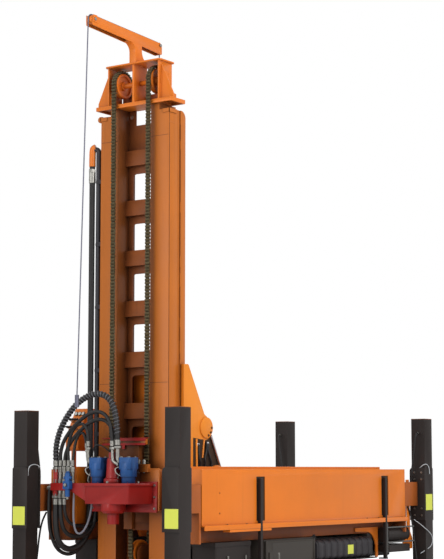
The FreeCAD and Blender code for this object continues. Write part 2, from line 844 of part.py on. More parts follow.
def muffler():
    """Exhaust silencer lying on the engine, with its pipe to the left side."""
    z = ENGINE_TOP + SILENCER_RADIUS + SEAT
    body = rod((SILENCER_REAR, SILENCER_Y, z), (SILENCER_FRONT, SILENCER_Y, z), SILENCER_RADIUS)
    bend_x = SILENCER_REAR - EXHAUST_REACH
    pipe = hose([(SILENCER_REAR, SILENCER_Y, z), (bend_x, SILENCER_Y, z), (bend_x, EXHAUST_END, z)],
                EXHAUST_RADIUS, None, PIPE_SIDES)
    return fuse(body, pipe)


def air_cleaner():
    """Air cleaner canister lying on the engine."""
    z = ENGINE_TOP + CLEANER_RADIUS + SEAT
    body = rod((CLEANER_REAR, CLEANER_Y, z), (CLEANER_FRONT, CLEANER_Y, z), CLEANER_RADIUS)
    duct = rod((CLEANER_FRONT, CLEANER_Y, z), (CLEANER_FRONT + DUCT_LONG, CLEANER_Y, z), DUCT_RADIUS)
    return fuse(body, duct)


def console():
    """Operator's console with a sloping panel, on its post at the right-hand tray."""
    outline = [(CONSOLE_REAR, CONSOLE_LOW, 15), (CONSOLE_FRONT, CONSOLE_LOW, 25),
               (CONSOLE_FRONT, CONSOLE_LOW + CONSOLE_LIP, 20),
               (CONSOLE_FRONT - CONSOLE_SLOPE, CONSOLE_TOP, 20), (CONSOLE_REAR, CONSOLE_TOP, 15)]
    case = side_plate(outline, -CONSOLE_OUT, -CONSOLE_IN)
    x = (CONSOLE_REAR + CONSOLE_FRONT) / 2
    y = -(TRAY_OUT + POST_OUT)
    foot = TRAY_LOW + STAND_RISE
    post = rod((x, y, foot), (x, y, CONSOLE_LOW + POST_SINK), STAND_RADIUS)
    arm = rod((x, y, CONSOLE_LOW + POST_SINK), (x, -CONSOLE_IN - POST_SINK, CONSOLE_LOW + POST_SINK),
              STAND_RADIUS)
    shoe = block(x - STAND_SHOE, x + STAND_SHOE, y, -TRAY_OUT - SEAT, foot, foot + 2 * STAND_SHOE)
    return fuse(case, post, arm, shoe)


# ---------------------------------------------------------------- legs
def leg_tube(x):
    """Left leg's square outer tube, closed on top, with its bracket plates."""
    half = LEG_TUBE / 2
    inner = half - LEG_WALL
    tube = block(x - half, x + half, LEG_Y - half, LEG_Y + half, LEG_BOTTOM, LEG_TOP)
    bore = block(x - inner, x + inner, LEG_Y - inner, LEG_Y + inner,
                 LEG_BOTTOM - 10, LEG_TOP - LEG_CAP)
    tube = tube.cut(bore)
    seat = RAM_SIDE / 2 + SEAT
    for z in (LEG_BOTTOM, LEG_BOTTOM + COLLAR_STEP):
        collar = block(x - half + 1, x + half - 1, LEG_Y - half + 1, LEG_Y + half - 1,
                       z, z + COLLAR_TALL)
        collar = collar.cut(block(x - seat, x + seat, LEG_Y - seat, LEG_Y + seat,
                                  z - 1, z + COLLAR_TALL + 1))
        tube = tube.fuse(collar)
    near = LEG_Y - half - BRACKET_SPREAD
    outline = [(LEG_Y + half, BRACKET_LOW, 0), (LEG_Y + half, BRACKET_TOP, 20),
               (near, BRACKET_TOP, 40), (near, BRACKET_LOW, 0)]
    plates = []
    for side in (-1, 1):
        x0 = x + side * half
        plates.append(front_plate(outline, x0, x0 + side * PLATE_OUT))
    return fuse(tube, *plates)


def leg_ram(x):
    """Left leg's sliding inner column with its foot pad on the ground."""
    half = RAM_SIDE / 2
    top = PAD_THICK + PAD_NECK_TALL
    column = block(x - half, x + half, LEG_Y - half, LEG_Y + half, top - 5, RAM_TOP)
    pad = rod((x, LEG_Y, 0), (x, LEG_Y, PAD_THICK), PAD_RADIUS)
    neck = rod((x, LEG_Y, PAD_THICK), (x, LEG_Y, top), PAD_NECK)
    return fuse(column, pad, neck)


# ---------------------------------------------------------------- carrier and lift
def carrier_plates():
    """Side plates of the tilting carrier, with pivot pins, lift knuckles and mast claws."""
    plates = []
    outline = [(CARRIER_FRONT, PIVOT_Z - 120, 30), (CARRIER_FRONT, CARRIER_TOP, 0),
               (CARRIER_FRONT - 80, CARRIER_TOP, 20), (KNUCKLE_X + 20, KNUCKLE_Z + 130, 60),
               (KNUCKLE_X - 95, KNUCKLE_Z + 60, 40), (KNUCKLE_X - 95, KNUCKLE_Z - 80, 60),
               (PIVOT_X - 110, PIVOT_Z + 60, 60), (PIVOT_X - 110, PIVOT_Z - 110, 100),
               (PIVOT_X + 100, PIVOT_Z - 110, 60)]
    claw_rear = GROOVE_REAR + CLAW_PLAY
    claw_front = GROOVE_FRONT - CLAW_PLAY
    for side in (-1, 1):
        y0 = side * CARRIER_IN
        y1 = side * (CARRIER_IN + CARRIER_PLATE)
        groove = side * (MAST_HALF - GROOVE_DEPTH + SEAT)
        pieces = [side_plate(outline, y0, y1),
                  disc(KNUCKLE_X, KNUCKLE_Z, KNUCKLE_RADIUS, y0, y1 + side * KNUCKLE_BOSS),
                  disc(PIVOT_X, PIVOT_Z, PIVOT_PIN, y0, side * (BRACKET_IN + BRACKET_PLATE + 12))]
        for z in CLAW_LOWS:
            pieces.append(block(CARRIER_FRONT - PLATE_OUT, claw_front, y0, y1, z, z + CLAW_TALL))
            pieces.append(block(claw_rear, claw_front, y0, groove, z, z + CLAW_TALL))
        plates.append(fuse(*pieces))
    return plates


def carrier_frame():
    """Cross tube, ribs and back plate between the carrier's side plates."""
    inner = CARRIER_IN - SEAT
    middle = [disc(PIVOT_X, PIVOT_Z, CARRIER_TUBE, -inner, inner),
              block(BACK_X, BACK_X + BACK_PLATE, -inner, inner, BACK_LOW, BACK_TOP)]
    for side in (-1, 1):
        middle.append(block(BACK_X, MAST_REAR - SEAT, side * SHOE_IN, side * SHOE_OUT,
                            BACK_LOW + 10, BACK_TOP - 10))
        rib = side_plate([(PIVOT_X, PIVOT_Z, 0), (PIVOT_X + CARRIER_TUBE, PIVOT_Z, 0),
                          (BACK_X, BACK_LOW, 0), (BACK_X, BACK_LOW + RIB_TALL, 0),
                          (BACK_X - 60, BACK_LOW + RIB_TALL, 0)],
                         side * RIB_Y, side * (RIB_Y + RIB_PLATE))
        middle.append(rib)
    return fuse(*middle)


def lift_way():
    """Unit vector from the lift cylinder's foot to its rod pin."""
    way = V(KNUCKLE_X - CYL_BASE_X, 0, KNUCKLE_Z - CYL_BASE_Z)
    return way.normalize()


def lift_barrels():
    """Barrels of both lift cylinders, hollow, with a gland at the mouth."""
    way = lift_way()
    barrels = []
    for side in (-1, 1):
        y = side * CYL_Y
        foot = V(CYL_BASE_X, y, CYL_BASE_Z)
        barrel = Part.makeCylinder(BARREL_RADIUS, BARREL_LENGTH, foot, way)
        eye = disc(CYL_BASE_X, CYL_BASE_Z, BARREL_EYE, y - BARREL_EYE_HALF, y + BARREL_EYE_HALF)
        bore = disc(CYL_BASE_X, CYL_BASE_Z, CYL_PIN + RUN_FIT, y - 2 * BARREL_EYE_HALF,
                    y + 2 * BARREL_EYE_HALF)
        mouth = BARREL_LENGTH - GLAND_LONG
        well = Part.makeCylinder(ROD_RADIUS + 6, mouth + 40 - WELL_START, foot + way * WELL_START, way)
        gland = Part.makeCylinder(ROD_RADIUS + RUN_FIT, 2 * GLAND_LONG, foot + way * mouth, way)
        barrels.append(fuse(barrel, eye).cut(bore).cut(well).cut(gland))
    return barrels


def lift_rods():
    """Chromed rods of both lift cylinders with their eyes and pins."""
    way = lift_way()
    full = math.hypot(KNUCKLE_X - CYL_BASE_X, KNUCKLE_Z - CYL_BASE_Z)
    rods = []
    for side in (-1, 1):
        y = side * CYL_Y
        hidden = BARREL_LENGTH - ROD_HIDDEN
        start = V(CYL_BASE_X, y, CYL_BASE_Z) + way * hidden
        bar = Part.makeCylinder(ROD_RADIUS, full - hidden, start, way)
        eye = disc(KNUCKLE_X, KNUCKLE_Z, ROD_EYE, y - ROD_EYE_HALF, y + ROD_EYE_HALF)
        pin = disc(KNUCKLE_X, KNUCKLE_Z, ROD_PIN, side * (CYL_Y - ROD_EYE_HALF - 6),
                   side * (CARRIER_IN - 6))
        rods.append(fuse(bar, eye, pin))
    return rods


# ---------------------------------------------------------------- mast
def mast_columns():
    """Two box columns with lowered outer shoulders, grooved for the carrier's claws."""
    groove = MAST_HALF - GROOVE_DEPTH
    outline = [(MAST_REAR, GAP_HALF, 0), (MAST_REAR, MAST_HALF, 0), (GROOVE_REAR, MAST_HALF, 0),
               (GROOVE_REAR, groove, 0), (GROOVE_FRONT, groove, 0), (GROOVE_FRONT, MAST_HALF, 0),
               (MAST_FRONT, MAST_HALF, 0), (MAST_FRONT, GAP_HALF, 0)]
    shoulder = side_plate([(MAST_REAR, MAST_FOOT, 0), (MAST_FRONT, MAST_FOOT, 0),
                           (MAST_FRONT, MAST_TOP - SHOULDER_DROP, 15),
                           (MAST_REAR, MAST_TOP - SHOULDER_DROP, 70)], GAP_HALF, MAST_HALF)
    core = block(MAST_REAR, MAST_FRONT, GAP_HALF, SHOULDER_IN, MAST_FOOT, MAST_TOP)
    column = flat_plate(outline, MAST_FOOT, MAST_TOP).common(fuse(shoulder, core))
    return both_sides(column.removeSplitter())


def mast_ladder():
    """Plate with a row of windows and cross bars, and the cheeks of the foot's chain wheel."""
    half = GAP_HALF - SEAT
    front = LADDER_X + PLATE
    ladder = block(LADDER_X, front, -half, half, MAST_FOOT, MAST_TOP)
    bars = []
    first = MAST_TOP - WINDOW_DROP - (WINDOW_ROWS - 2) * WINDOW_PITCH
    for i in range(WINDOW_ROWS):
        bottom = first + i * WINDOW_PITCH
        if i > 0:
            bars.append(block(LADDER_X, front + BAR_DEPTH, -half, half, bottom - BAR_TALL, bottom))
        if i < WINDOW_ROWS - 1:
            window = front_plate([(-WINDOW_HALF, bottom, 5), (WINDOW_HALF, bottom, 5),
                                  (WINDOW_HALF, bottom + WINDOW_TALL, 40),
                                  (-WINDOW_HALF, bottom + WINDOW_TALL, 40)],
                                 LADDER_X - 5, front + 5)
            ladder = ladder.cut(window)
    notch = block(LADDER_X - 5, front + 5, -NOTCH_RIGHT, WINDOW_HALF, MAST_TOP - NOTCH_TALL,
                  MAST_TOP + 5)
    hand_hole = rod((LADDER_X - 5, -HAND_HOLE_Y, MAST_TOP - HAND_HOLE_DROP),
                    (front + 5, -HAND_HOLE_Y, MAST_TOP - HAND_HOLE_DROP), HAND_HOLE_RADIUS)
    slot_half = HUB_HALF - SEAT
    slot = block(LADDER_X - 5, front + 5, FOOT_CHAIN_Y - slot_half, FOOT_CHAIN_Y + slot_half,
                 FOOT_WHEEL_Z - FOOT_SLOT, FOOT_WHEEL_Z)
    ladder = fuse(ladder.cut(notch).cut(hand_hole).cut(slot), *bars)
    cheek = [(front + SEAT, FOOT_WHEEL_Z - FOOT_SLOT, 0),
             (WHEEL_X, FOOT_WHEEL_Z - FOOT_SLOT, 30),
             (WHEEL_X + CHEEK_REACH, FOOT_WHEEL_Z - CHEEK_REACH, 30),
             (WHEEL_X + CHEEK_REACH, FOOT_WHEEL_Z + CHEEK_REACH, CHEEK_REACH - 2),
             (front + SEAT, FOOT_WHEEL_Z + CHEEK_REACH, 0)]
    cheeks = [side_plate(cheek, FOOT_CHAIN_Y + side * (HUB_HALF + SEAT),
                         FOOT_CHAIN_Y + side * (HUB_HALF + SEAT + CHEEK_PLATE)) for side in (-1, 1)]
    return [ladder] + cheeks


def head_frame():
    """Frame on the mast's top that carries the chain wheels and the jib."""
    low = MAST_TOP + HEAD_BASE_THICK
    rear = HEAD_REAR + HEAD_STEP
    wide = HEAD_TOP_HALF + TOP_OVERHANG
    base = block(HEAD_REAR, HEAD_FRONT, -HEAD_BASE_HALF, HEAD_BASE_HALF, MAST_TOP + SEAT, low)
    top = flat_plate([(rear - HEAD_STEP, -wide, TOP_CORNER), (HEAD_FRONT + HEAD_STEP, -wide, TOP_CORNER),
                      (HEAD_FRONT + HEAD_STEP, wide, TOP_CORNER), (rear - HEAD_STEP, wide, TOP_CORNER)],
                     HEAD_TOP_Z - HEAD_PLATE, HEAD_TOP_Z)
    pieces = [base, top, block(rear, HEAD_FRONT, -DIVIDER_HALF, DIVIDER_HALF, low, HEAD_TOP_Z)]
    for side in (-1, 1):
        outer = side * HEAD_TOP_HALF
        pieces.append(block(rear, HEAD_FRONT, outer, outer - side * HEAD_PLATE, low, HEAD_TOP_Z))
        gusset = front_plate([(outer, low, 0), (side * HEAD_BASE_HALF, low, 0),
                              (side * HEAD_BASE_HALF, low + 40, 0), (outer, HEAD_TOP_Z - 40, 0)],
                             HEAD_FRONT - GUSSET_INSET - HEAD_PLATE, HEAD_FRONT - GUSSET_INSET)
        pieces.append(gusset)
        pieces.append(front_plate([(outer, low, 0), (outer + side * REAR_LUG, low, 0),
                                   (outer + side * REAR_LUG, low + REAR_LUG + 20, 15),
                                   (outer, low + REAR_LUG + 20, 0)], rear, rear + REAR_LUG))
    frame = fuse(*pieces)
    run = WHEEL_X - WHEEL_RADIUS - CHAIN_THICK
    wall = HEAD_PLATE
    for side in (-1, 1):
        run_hole = block(run - 8, WHEEL_X - WHEEL_RADIUS + 20, side * (CHAIN_Y - CHAIN_WIDTH / 2 - 8),
                         side * (CHAIN_Y + CHAIN_WIDTH / 2 + 8), MAST_TOP - 5, low + 5)
        hollow = block(HEAD_REAR + wall, HEAD_FRONT - wall, side * (SHOULDER_IN + wall),
                       side * (HEAD_BASE_HALF - wall), MAST_TOP - 5, low - wall)
        frame = frame.cut(run_hole).cut(hollow)
    return frame


def chain_wheel(y, z):
    """Chain wheel with hub, thin web and rim."""
    half = WHEEL_WIDTH / 2
    web = WHEEL_WEB / 2
    return spun([(0, -HUB_HALF), (HUB_RADIUS, -HUB_HALF), (HUB_RADIUS, -web), (RIM_IN, -web),
                 (RIM_IN, -half), (WHEEL_RADIUS, -half), (WHEEL_RADIUS, half), (RIM_IN, half),
                 (RIM_IN, web), (HUB_RADIUS, web), (HUB_RADIUS, HUB_HALF), (0, HUB_HALF)],
                WHEEL_X, z, y)


def feed_wheels():
    """Two chain wheels on their axles in the mast's head and one at its foot."""
    wheels = [chain_wheel(FOOT_CHAIN_Y, FOOT_WHEEL_Z)]
    for side in (-1, 1):
        axle = disc(WHEEL_X, WHEEL_Z, AXLE_RADIUS, side * (DIVIDER_HALF + SEAT),
                    side * (HEAD_TOP_HALF - HEAD_PLATE - SEAT))
        wheels.append(fuse(chain_wheel(side * CHAIN_Y, WHEEL_Z), axle))
    return wheels


def feed_chain(y, wheel_z, front_end, rear_end):
    """Leaf chain round one wheel: two straight runs and a half turn, notched between links."""
    inner = WHEEL_RADIUS + SEAT
    outer = inner + CHAIN_THICK
    way = 1 if front_end < wheel_z else -1
    front = abs(wheel_z - front_end)
    turn = math.pi * outer
    around = front + turn + abs(wheel_z - rear_end)

    def place(distance, depth):
        """Point at a distance along the chain's outside and a depth into it."""
        r = outer - depth
        if distance < front:
            return (WHEEL_X + r, front_end + way * distance, 0)
        if distance < front + turn:
            angle = (distance - front) / outer
            return (WHEEL_X + r * math.cos(angle), wheel_z + way * r * math.sin(angle), 0)
        return (WHEEL_X - r, wheel_z - way * (distance - front - turn), 0)

    outline = []
    for i in range(int(around / LINK_PITCH)):
        start = i * LINK_PITCH
        outline += [place(start, 0), place(start + 0.7 * LINK_PITCH, 0),
                    place(start + 0.85 * LINK_PITCH, LINK_NOTCH)]
    outline.append(place(around, 0))
    outline.append(place(around, CHAIN_THICK))
    steps = 12
    wide = inner / math.cos(math.pi / steps / 2)
    for i in range(steps):
        angle = math.pi * (i + 0.5) / steps
        outline.append((WHEEL_X - wide * math.cos(angle), wheel_z + way * wide * math.sin(angle), 0))
    outline.append(place(0, CHAIN_THICK))
    return side_plate(outline, y - CHAIN_WIDTH / 2, y + CHAIN_WIDTH / 2)


def feed_chains():
    """Two lifting chains over the head's wheels and one pull-down chain round the foot's."""
    lifting = both_sides(feed_chain(CHAIN_Y, WHEEL_Z, CHAIN_LOW, MAST_TOP + 2))
    return lifting + [feed_chain(FOOT_CHAIN_Y, FOOT_WHEEL_Z, FOOT_CHAIN_TOP, FOOT_CHAIN_END)]


def jib_line(x):
    """Height of the jib's middle line."""
    return JIB_REAR_Z + (x - JIB_REAR) / (JIB_TIP - JIB_REAR) * JIB_CLIMB


def rope_line(x):
    """Height of the hoist rope above the jib."""
    return jib_line(x) + JIB_TALL / 2 + ROPE_RADIUS + ROPE_LIFT


def rope_corners():
    """Corners of the hoist rope's path: winch, jib's rear, jib's tip and hook."""
    rear_x = JIB_REAR - ROPE_RADIUS - 2
    tip_x = JIB_TIP + ROPE_RADIUS + ROPE_LIFT
    return [V(WINCH_X - WINCH_DRUM - ROPE_RADIUS - SEAT, 0, WINCH_Z), V(rear_x, 0, rope_line(rear_x)),
            V(tip_x, 0, rope_line(tip_x)), V(tip_x + 8, -90, HOOK_Z)]


def jib_arm():
    """Channel beam with a rope roller at each end, on a pedestal with curved edges."""
    half = JIB_TALL / 2
    y = JIB_WIDTH / 2
    beam = side_plate([(JIB_REAR, JIB_REAR_Z - half, 12), (JIB_TIP, JIB_TIP_Z - half + 15, 15),
                       (JIB_TIP, JIB_TIP_Z + half, 15), (JIB_REAR, JIB_REAR_Z + half, 30)], -y, y)
    inner = y - JIB_WALL
    hollow = side_plate([(JIB_REAR + JIB_WALL, JIB_REAR_Z - JIB_TALL, 0),
                         (JIB_TIP + 5, JIB_TIP_Z - JIB_TALL, 0),
                         (JIB_TIP + 5, JIB_TIP_Z + half - JIB_WALL, 0),
                         (JIB_REAR + JIB_WALL, JIB_REAR_Z + half - JIB_WALL, 0)], -inner, inner)
    beam = beam.cut(hollow)
    low = jib_line(FOOT_FRONT) - half + 14
    foot_low = HEAD_TOP_Z + SEAT
    foot = side_plate([(FOOT_REAR, foot_low, 0), (FOOT_FRONT, foot_low, 0), (FOOT_FRONT, low, 90),
                       (FOOT_FRONT + 95, low, 0), (FOOT_FRONT + 95, low + 15, 0),
                       (FOOT_NECK, low + 15, 0), (FOOT_NECK, foot_low + 12, 120),
                       (FOOT_REAR, foot_low + 12, 0)], -y, y)
    winch, rear, tip, hook = rope_corners()
    rollers = []
    for before, corner, after, bend in ((winch, rear, tip, ROPE_BENDS[0]),
                                        (rear, tip, hook, ROPE_BENDS[1])):
        centre = bend_centre(before, corner, after, bend)
        radius = bend - ROPE_RADIUS - SEAT
        room = radius + 4
        beam = beam.cut(block(centre.x - room, centre.x + room, -inner, inner,
                              centre.z - room, centre.z + JIB_TALL))
        rollers.append(disc(centre.x, centre.z, radius, 2 - inner, inner - 2))
        rollers.append(disc(centre.x, centre.z, ROLLER_PIN, -y - 4, y + 4))
    return fuse(beam, foot, *rollers)


def hoist_rope():
    """Hoist rope from the winch over the jib's rollers to its hook."""
    corners = rope_corners()
    rope = hose(corners, ROPE_RADIUS, ROPE_BENDS)
    end = corners[-1]
    hook = rod((end.x, end.y, end.z + 5), (end.x, end.y, end.z - HOOK_LONG), HOOK_RADIUS)
    return fuse(rope, hook)


def mast_winch():
    """Hoist winch at the back of the mast, with its motor on the left."""
    plate_out = DRUM_HALF + WINCH_PLATE
    rear = WINCH_X - WINCH_DRUM - 30
    front = MAST_REAR - SEAT
    pieces = [disc(WINCH_X, WINCH_Z, WINCH_DRUM, -DRUM_HALF, DRUM_HALF),
              block(front - PLATE, front, -GAP_HALF - 100, GAP_HALF + 100, WINCH_Z - WINCH_TALL,
                    WINCH_Z + WINCH_TALL),
              disc(WINCH_X, WINCH_Z, WINCH_MOTOR, plate_out, plate_out + WINCH_MOTOR_LONG)]
    low = WINCH_Z - WINCH_TALL
    high = WINCH_Z + WINCH_TALL
    outline = [(rear, low + 30, 40), (front, low, 0), (front, high, 0), (rear, high - 30, 40)]
    for side in (-1, 1):
        pieces.append(side_plate(outline, side * DRUM_HALF, side * plate_out))
    return fuse(*pieces)


def rod_clamp():
    """Rod guide and clamp at the mast's foot, on the drill axis."""
    rear = MAST_FRONT + SEAT
    front = AXIS_X + CLAMP_REACH
    half = CLAMP_HALF
    outline = [(rear, -half, 0), (front, -half, 60), (front, half, 60), (rear, half, 0)]
    pieces = [flat_plate(outline, CLAMP_TOP - CLAMP_PLATE, CLAMP_TOP),
              flat_plate(outline, CLAMP_LOW, CLAMP_LOW + CLAMP_PLATE),
              block(rear, rear + 25, -half - 100, half + 100, CLAMP_LOW - 20, CLAMP_TOP + 60)]
    middle = (CLAMP_LOW + CLAMP_TOP) / 2
    for side in (-1, 1):
        pieces.append(block(AXIS_X - 60, AXIS_X + 60, side * (GUIDE_RADIUS + 10), side * half,
                            CLAMP_LOW + CLAMP_PLATE, CLAMP_TOP - CLAMP_PLATE))
        pieces.append(rod((AXIS_X, side * half, middle), (AXIS_X, side * (half + 130), middle),
                          JAW_CYLINDER))
    guide = rod((AXIS_X, 0, CLAMP_LOW - 50), (AXIS_X, 0, CLAMP_TOP + 90), GUIDE_RADIUS)
    return fuse(*pieces).cut(guide)


# ---------------------------------------------------------------- drill head
def carriage():
    """Carriage between the columns: plate, crossbar, guide blocks and chain anchors."""
    front = CARRIAGE_X + CARRIAGE_PLATE
    neck_top = CARRIAGE_TOP - CROSSBAR_TALL
    pieces = [front_plate([(-CARRIAGE_HALF, CARRIAGE_LOW, 12), (CARRIAGE_HALF, CARRIAGE_LOW, 12),
                           (CARRIAGE_HALF, CARRIAGE_MID, 25), (-CARRIAGE_HALF, CARRIAGE_MID, 25)],
                          CARRIAGE_X, front),
              block(CARRIAGE_X, front, -NECK_HALF, NECK_HALF, CARRIAGE_MID - 5, neck_top + 5),
              block(CARRIAGE_X, front + 10, -CROSSBAR_HALF, CROSSBAR_HALF, neck_top, CARRIAGE_TOP)]
    for side in (-1, 1):
        pieces.append(block(TONGUE_REAR, CARRIAGE_X, side * TONGUE_SLOT, side * TONGUE_HALF,
                            CARRIAGE_LOW + 30, neck_top))
        pieces.append(block(MAST_FRONT + SEAT, CARRIAGE_X, side * PAD_IN, side * PAD_OUT,
                            CARRIAGE_LOW + 10, CARRIAGE_MID - 10))
        pieces.append(block(front - 5, front + ANCHOR_DEEP, side * ANCHOR_IN, side * ANCHOR_OUT,
                            CARRIAGE_MID - ANCHOR_TALL / 2, CARRIAGE_MID + ANCHOR_TALL / 2))
    lug_low = CARRIAGE_LOW - FORK_DROP
    fork = block(FORK_REAR, front - 15, FOOT_CHAIN_Y - FORK_HALF, FOOT_CHAIN_Y + FORK_HALF,
                 lug_low, CARRIAGE_LOW + 10)
    room = CHAIN_WIDTH / 2 + FORK_PLAY
    chain_front = WHEEL_X + WHEEL_RADIUS + SEAT + CHAIN_THICK
    fork = fork.cut(block(FORK_REAR - 5, chain_front + FORK_PLAY, FOOT_CHAIN_Y - room,
                          FOOT_CHAIN_Y + room, lug_low - 5, CARRIAGE_LOW + 20))
    return fuse(*pieces, fork)


def case_outline(grow=0):
    """Plan of the gear case with tapered ends, grown outwards by a margin."""
    wire = rounded([(V(x, y, 0), r) for x, y, r in (
        (GEARBOX_BACK, -CASE_END, 0), (CASE_CORNER_X, -CASE_END, 30), (GEARBOX_FRONT, -CASE_CREASE, 25),
        (GEARBOX_FRONT, CASE_CREASE, 25), (CASE_CORNER_X, CASE_END, 30), (GEARBOX_BACK, CASE_END, 0))])
    face = Part.Face(wire)
    return face.makeOffset2D(grow) if grow else face


def case_slab(z0, z1, grow=0):
    """Slab of the gear case's plan between two heights, level with the case's back."""
    slab = case_outline(grow)
    slab.translate(V(0, 0, z0))
    slab = slab.extrude(V(0, 0, z1 - z0))
    return slab.cut(block(GEARBOX_BACK - 100, GEARBOX_BACK, -1000, 1000, z0 - 1, z1 + 1))


def gearbox():
    """Gear case of the drill head with its cover lip, bearing flange and mounting plate."""
    lip_low = GEARBOX_TOP - LIP_TALL
    body = fuse(case_slab(GEARBOX_LOW, lip_low), case_slab(lip_low, GEARBOX_TOP, LIP_REACH),
                block(GEARBOX_BACK, GEARBOX_BACK + MOUNT_PLATE, -MOUNT_HALF, MOUNT_HALF, FLANGE_LOW + 10,
                      GEARBOX_TOP + 15),
                turned([(0, FLANGE_LOW), (FLANGE_RADIUS - 25, FLANGE_LOW),
                        (FLANGE_RADIUS, FLANGE_LOW + 25), (FLANGE_RADIUS, GEARBOX_LOW + 1),
                        (0, GEARBOX_LOW + 1)], AXIS_X, 0))
    return body.cut(rod((AXIS_X, 0, FLANGE_LOW - 5), (AXIS_X, 0, BORE_TOP), SPINDLE_RADIUS + RUN_FIT))


def spindle():
    """Hollow spindle with the threaded socket for the drill rods."""
    body = rod((AXIS_X, 0, SPINDLE_LOW), (AXIS_X, 0, BORE_TOP - 5), SPINDLE_RADIUS)
    socket = rod((AXIS_X, 0, SPINDLE_LOW - 1), (AXIS_X, 0, SPINDLE_LOW + SOCKET_DEPTH), SOCKET_RADIUS)
    return body.cut(socket)


def swivel():
    """Water and air swivel on top of the gear case."""
    low = GEARBOX_TOP + SEAT
    return turned([(0, low), (92, low), (92, low + 38), (72, low + 48), (60, SWIVEL_TOP - 60),
                   (46, SWIVEL_TOP - 55), (46, SWIVEL_TOP - 8), (38, SWIVEL_TOP), (0, SWIVEL_TOP)],
                  AXIS_X, 0)


def head_motors():
    """Two hydraulic motors that drive the gear case."""
    low = GEARBOX_TOP + SEAT
    half = MOTOR_RADIUS - 6
    motors = []
    for side in (-1, 1):
        y = side * MOTOR_Y
        neck = rod((AXIS_X, y, low), (AXIS_X, y, low + 75), MOTOR_RADIUS - 14)
        barrel = rod((AXIS_X, y, low + 60), (AXIS_X, y, MOTOR_TOP - 50), MOTOR_RADIUS)
        head = flat_plate([(AXIS_X - half, y - half, 28), (AXIS_X + half, y - half, 28),
                           (AXIS_X + half, y + half, 28), (AXIS_X - half, y + half, 28)],
                          MOTOR_TOP - 110, MOTOR_TOP)
        motors.append(fuse(neck, barrel, head))
    return motors


def manifold():
    """Hose manifold on a tapered arm at the right-hand end of the gear case."""
    half = MANIFOLD_DEPTH / 2
    arm = front_plate([(-MANIFOLD_END, MANIFOLD_LOW, 8), (PORT_YS[-1], MANIFOLD_LOW, 60),
                       (-CASE_CREASE, GEARBOX_LOW + 20, 0), (-CASE_CREASE, GEARBOX_TOP, 0),
                       (-MANIFOLD_END, GEARBOX_TOP, 8)], MANIFOLD_X - half, MANIFOLD_X + half)
    lip_low = GEARBOX_TOP - LIP_TALL - SEAT
    arm = arm.cut(case_slab(GEARBOX_LOW - 5, lip_low, SEAT))
    arm = arm.cut(case_slab(lip_low, GEARBOX_TOP + 5, LIP_REACH + SEAT))
    pieces = [arm]
    for y, (_, _, _, radius) in zip(PORT_YS, HEAD_HOSES):
        pieces.append(rod((MANIFOLD_X, y, GEARBOX_TOP - 5), (MANIFOLD_X, y, GEARBOX_TOP + PORT_TALL),
                          radius + PORT_WALL))
    for y, (_, radius) in zip(PORT_YS, SUPPLY_HOSES):
        pieces.append(rod((MANIFOLD_X, y, MANIFOLD_LOW - STUB_TALL), (MANIFOLD_X, y, MANIFOLD_LOW + 5),
                          radius + PORT_WALL))
    return fuse(*pieces)


def head_hoses():
    """Hoses from the manifold up and over to the motors."""
    start = GEARBOX_TOP + PORT_TALL + SEAT
    high = MOTOR_TOP + SEAT
    hoses = []
    for y, (end_x, end_y, top, radius) in zip(PORT_YS, HEAD_HOSES):
        across = math.hypot(end_x - MANIFOLD_X, end_y - y)
        bends = [min(ARCH_SHARE * across, LEG_SHARE * (top - leg)) for leg in (start, high)]
        hoses.append(hose([(MANIFOLD_X, y, start), (MANIFOLD_X, y, top), (end_x, end_y, top),
                           (end_x, end_y, high)], radius, bends))
    return hoses


def mast_pipes():
    """Steel pipes clipped to the right-hand column, with the bend above the big one."""
    x, y = BIG_PIPE
    top = PIPE_TOP + GOOSE_RISE
    big = hose([(x, y, PIPE_LOW), (x, y, top), (HOSE_X, HOSE_Y, top),
                (HOSE_X, HOSE_Y, HOSE_TOP + SEAT)], PIPE_RADIUS, (GOOSE_BEND, GOOSE_BEND), PIPE_SIDES)
    x, y = SMALL_PIPE
    small = rod((x, y, PIPE_LOW), (x, y, SMALL_PIPE_TOP), SMALL_PIPE_RADIUS)
    pieces = [big, small]
    for i in range(CLIP_COUNT):
        z = CLIP_LOW + i * CLIP_PITCH
        pieces.append(block(x - CLIP_REACH, MAST_FRONT - CLAW_PLAY, -MAST_HALF - SEAT, BIG_PIPE[1],
                            z, z + CLIP_TALL))
    return fuse(*pieces)


def supply_hoses():
    """Hoses from the mast down and round to the manifold."""
    hoses = []
    low = MANIFOLD_LOW - STUB_TALL - SEAT
    ends = ((HOSE_X, HOSE_Y, HOSE_TOP), (*BIG_PIPE, PIPE_LOW - SEAT), (*SMALL_PIPE, PIPE_LOW - SEAT))
    for port_y, (x, y, top), (dip, radius) in zip(PORT_YS, ends, SUPPLY_HOSES):
        hoses.append(hose([(MANIFOLD_X, port_y, low), (MANIFOLD_X, port_y, dip), (x, y, dip),
                           (x, y, top)], radius, (dip_bend(x), dip_bend(x))))
    return hoses


def dip_bend(x):
    """Bend radius of a hanging hose between the mast and the manifold."""
    return DIP_SHARE * (MANIFOLD_X - x)


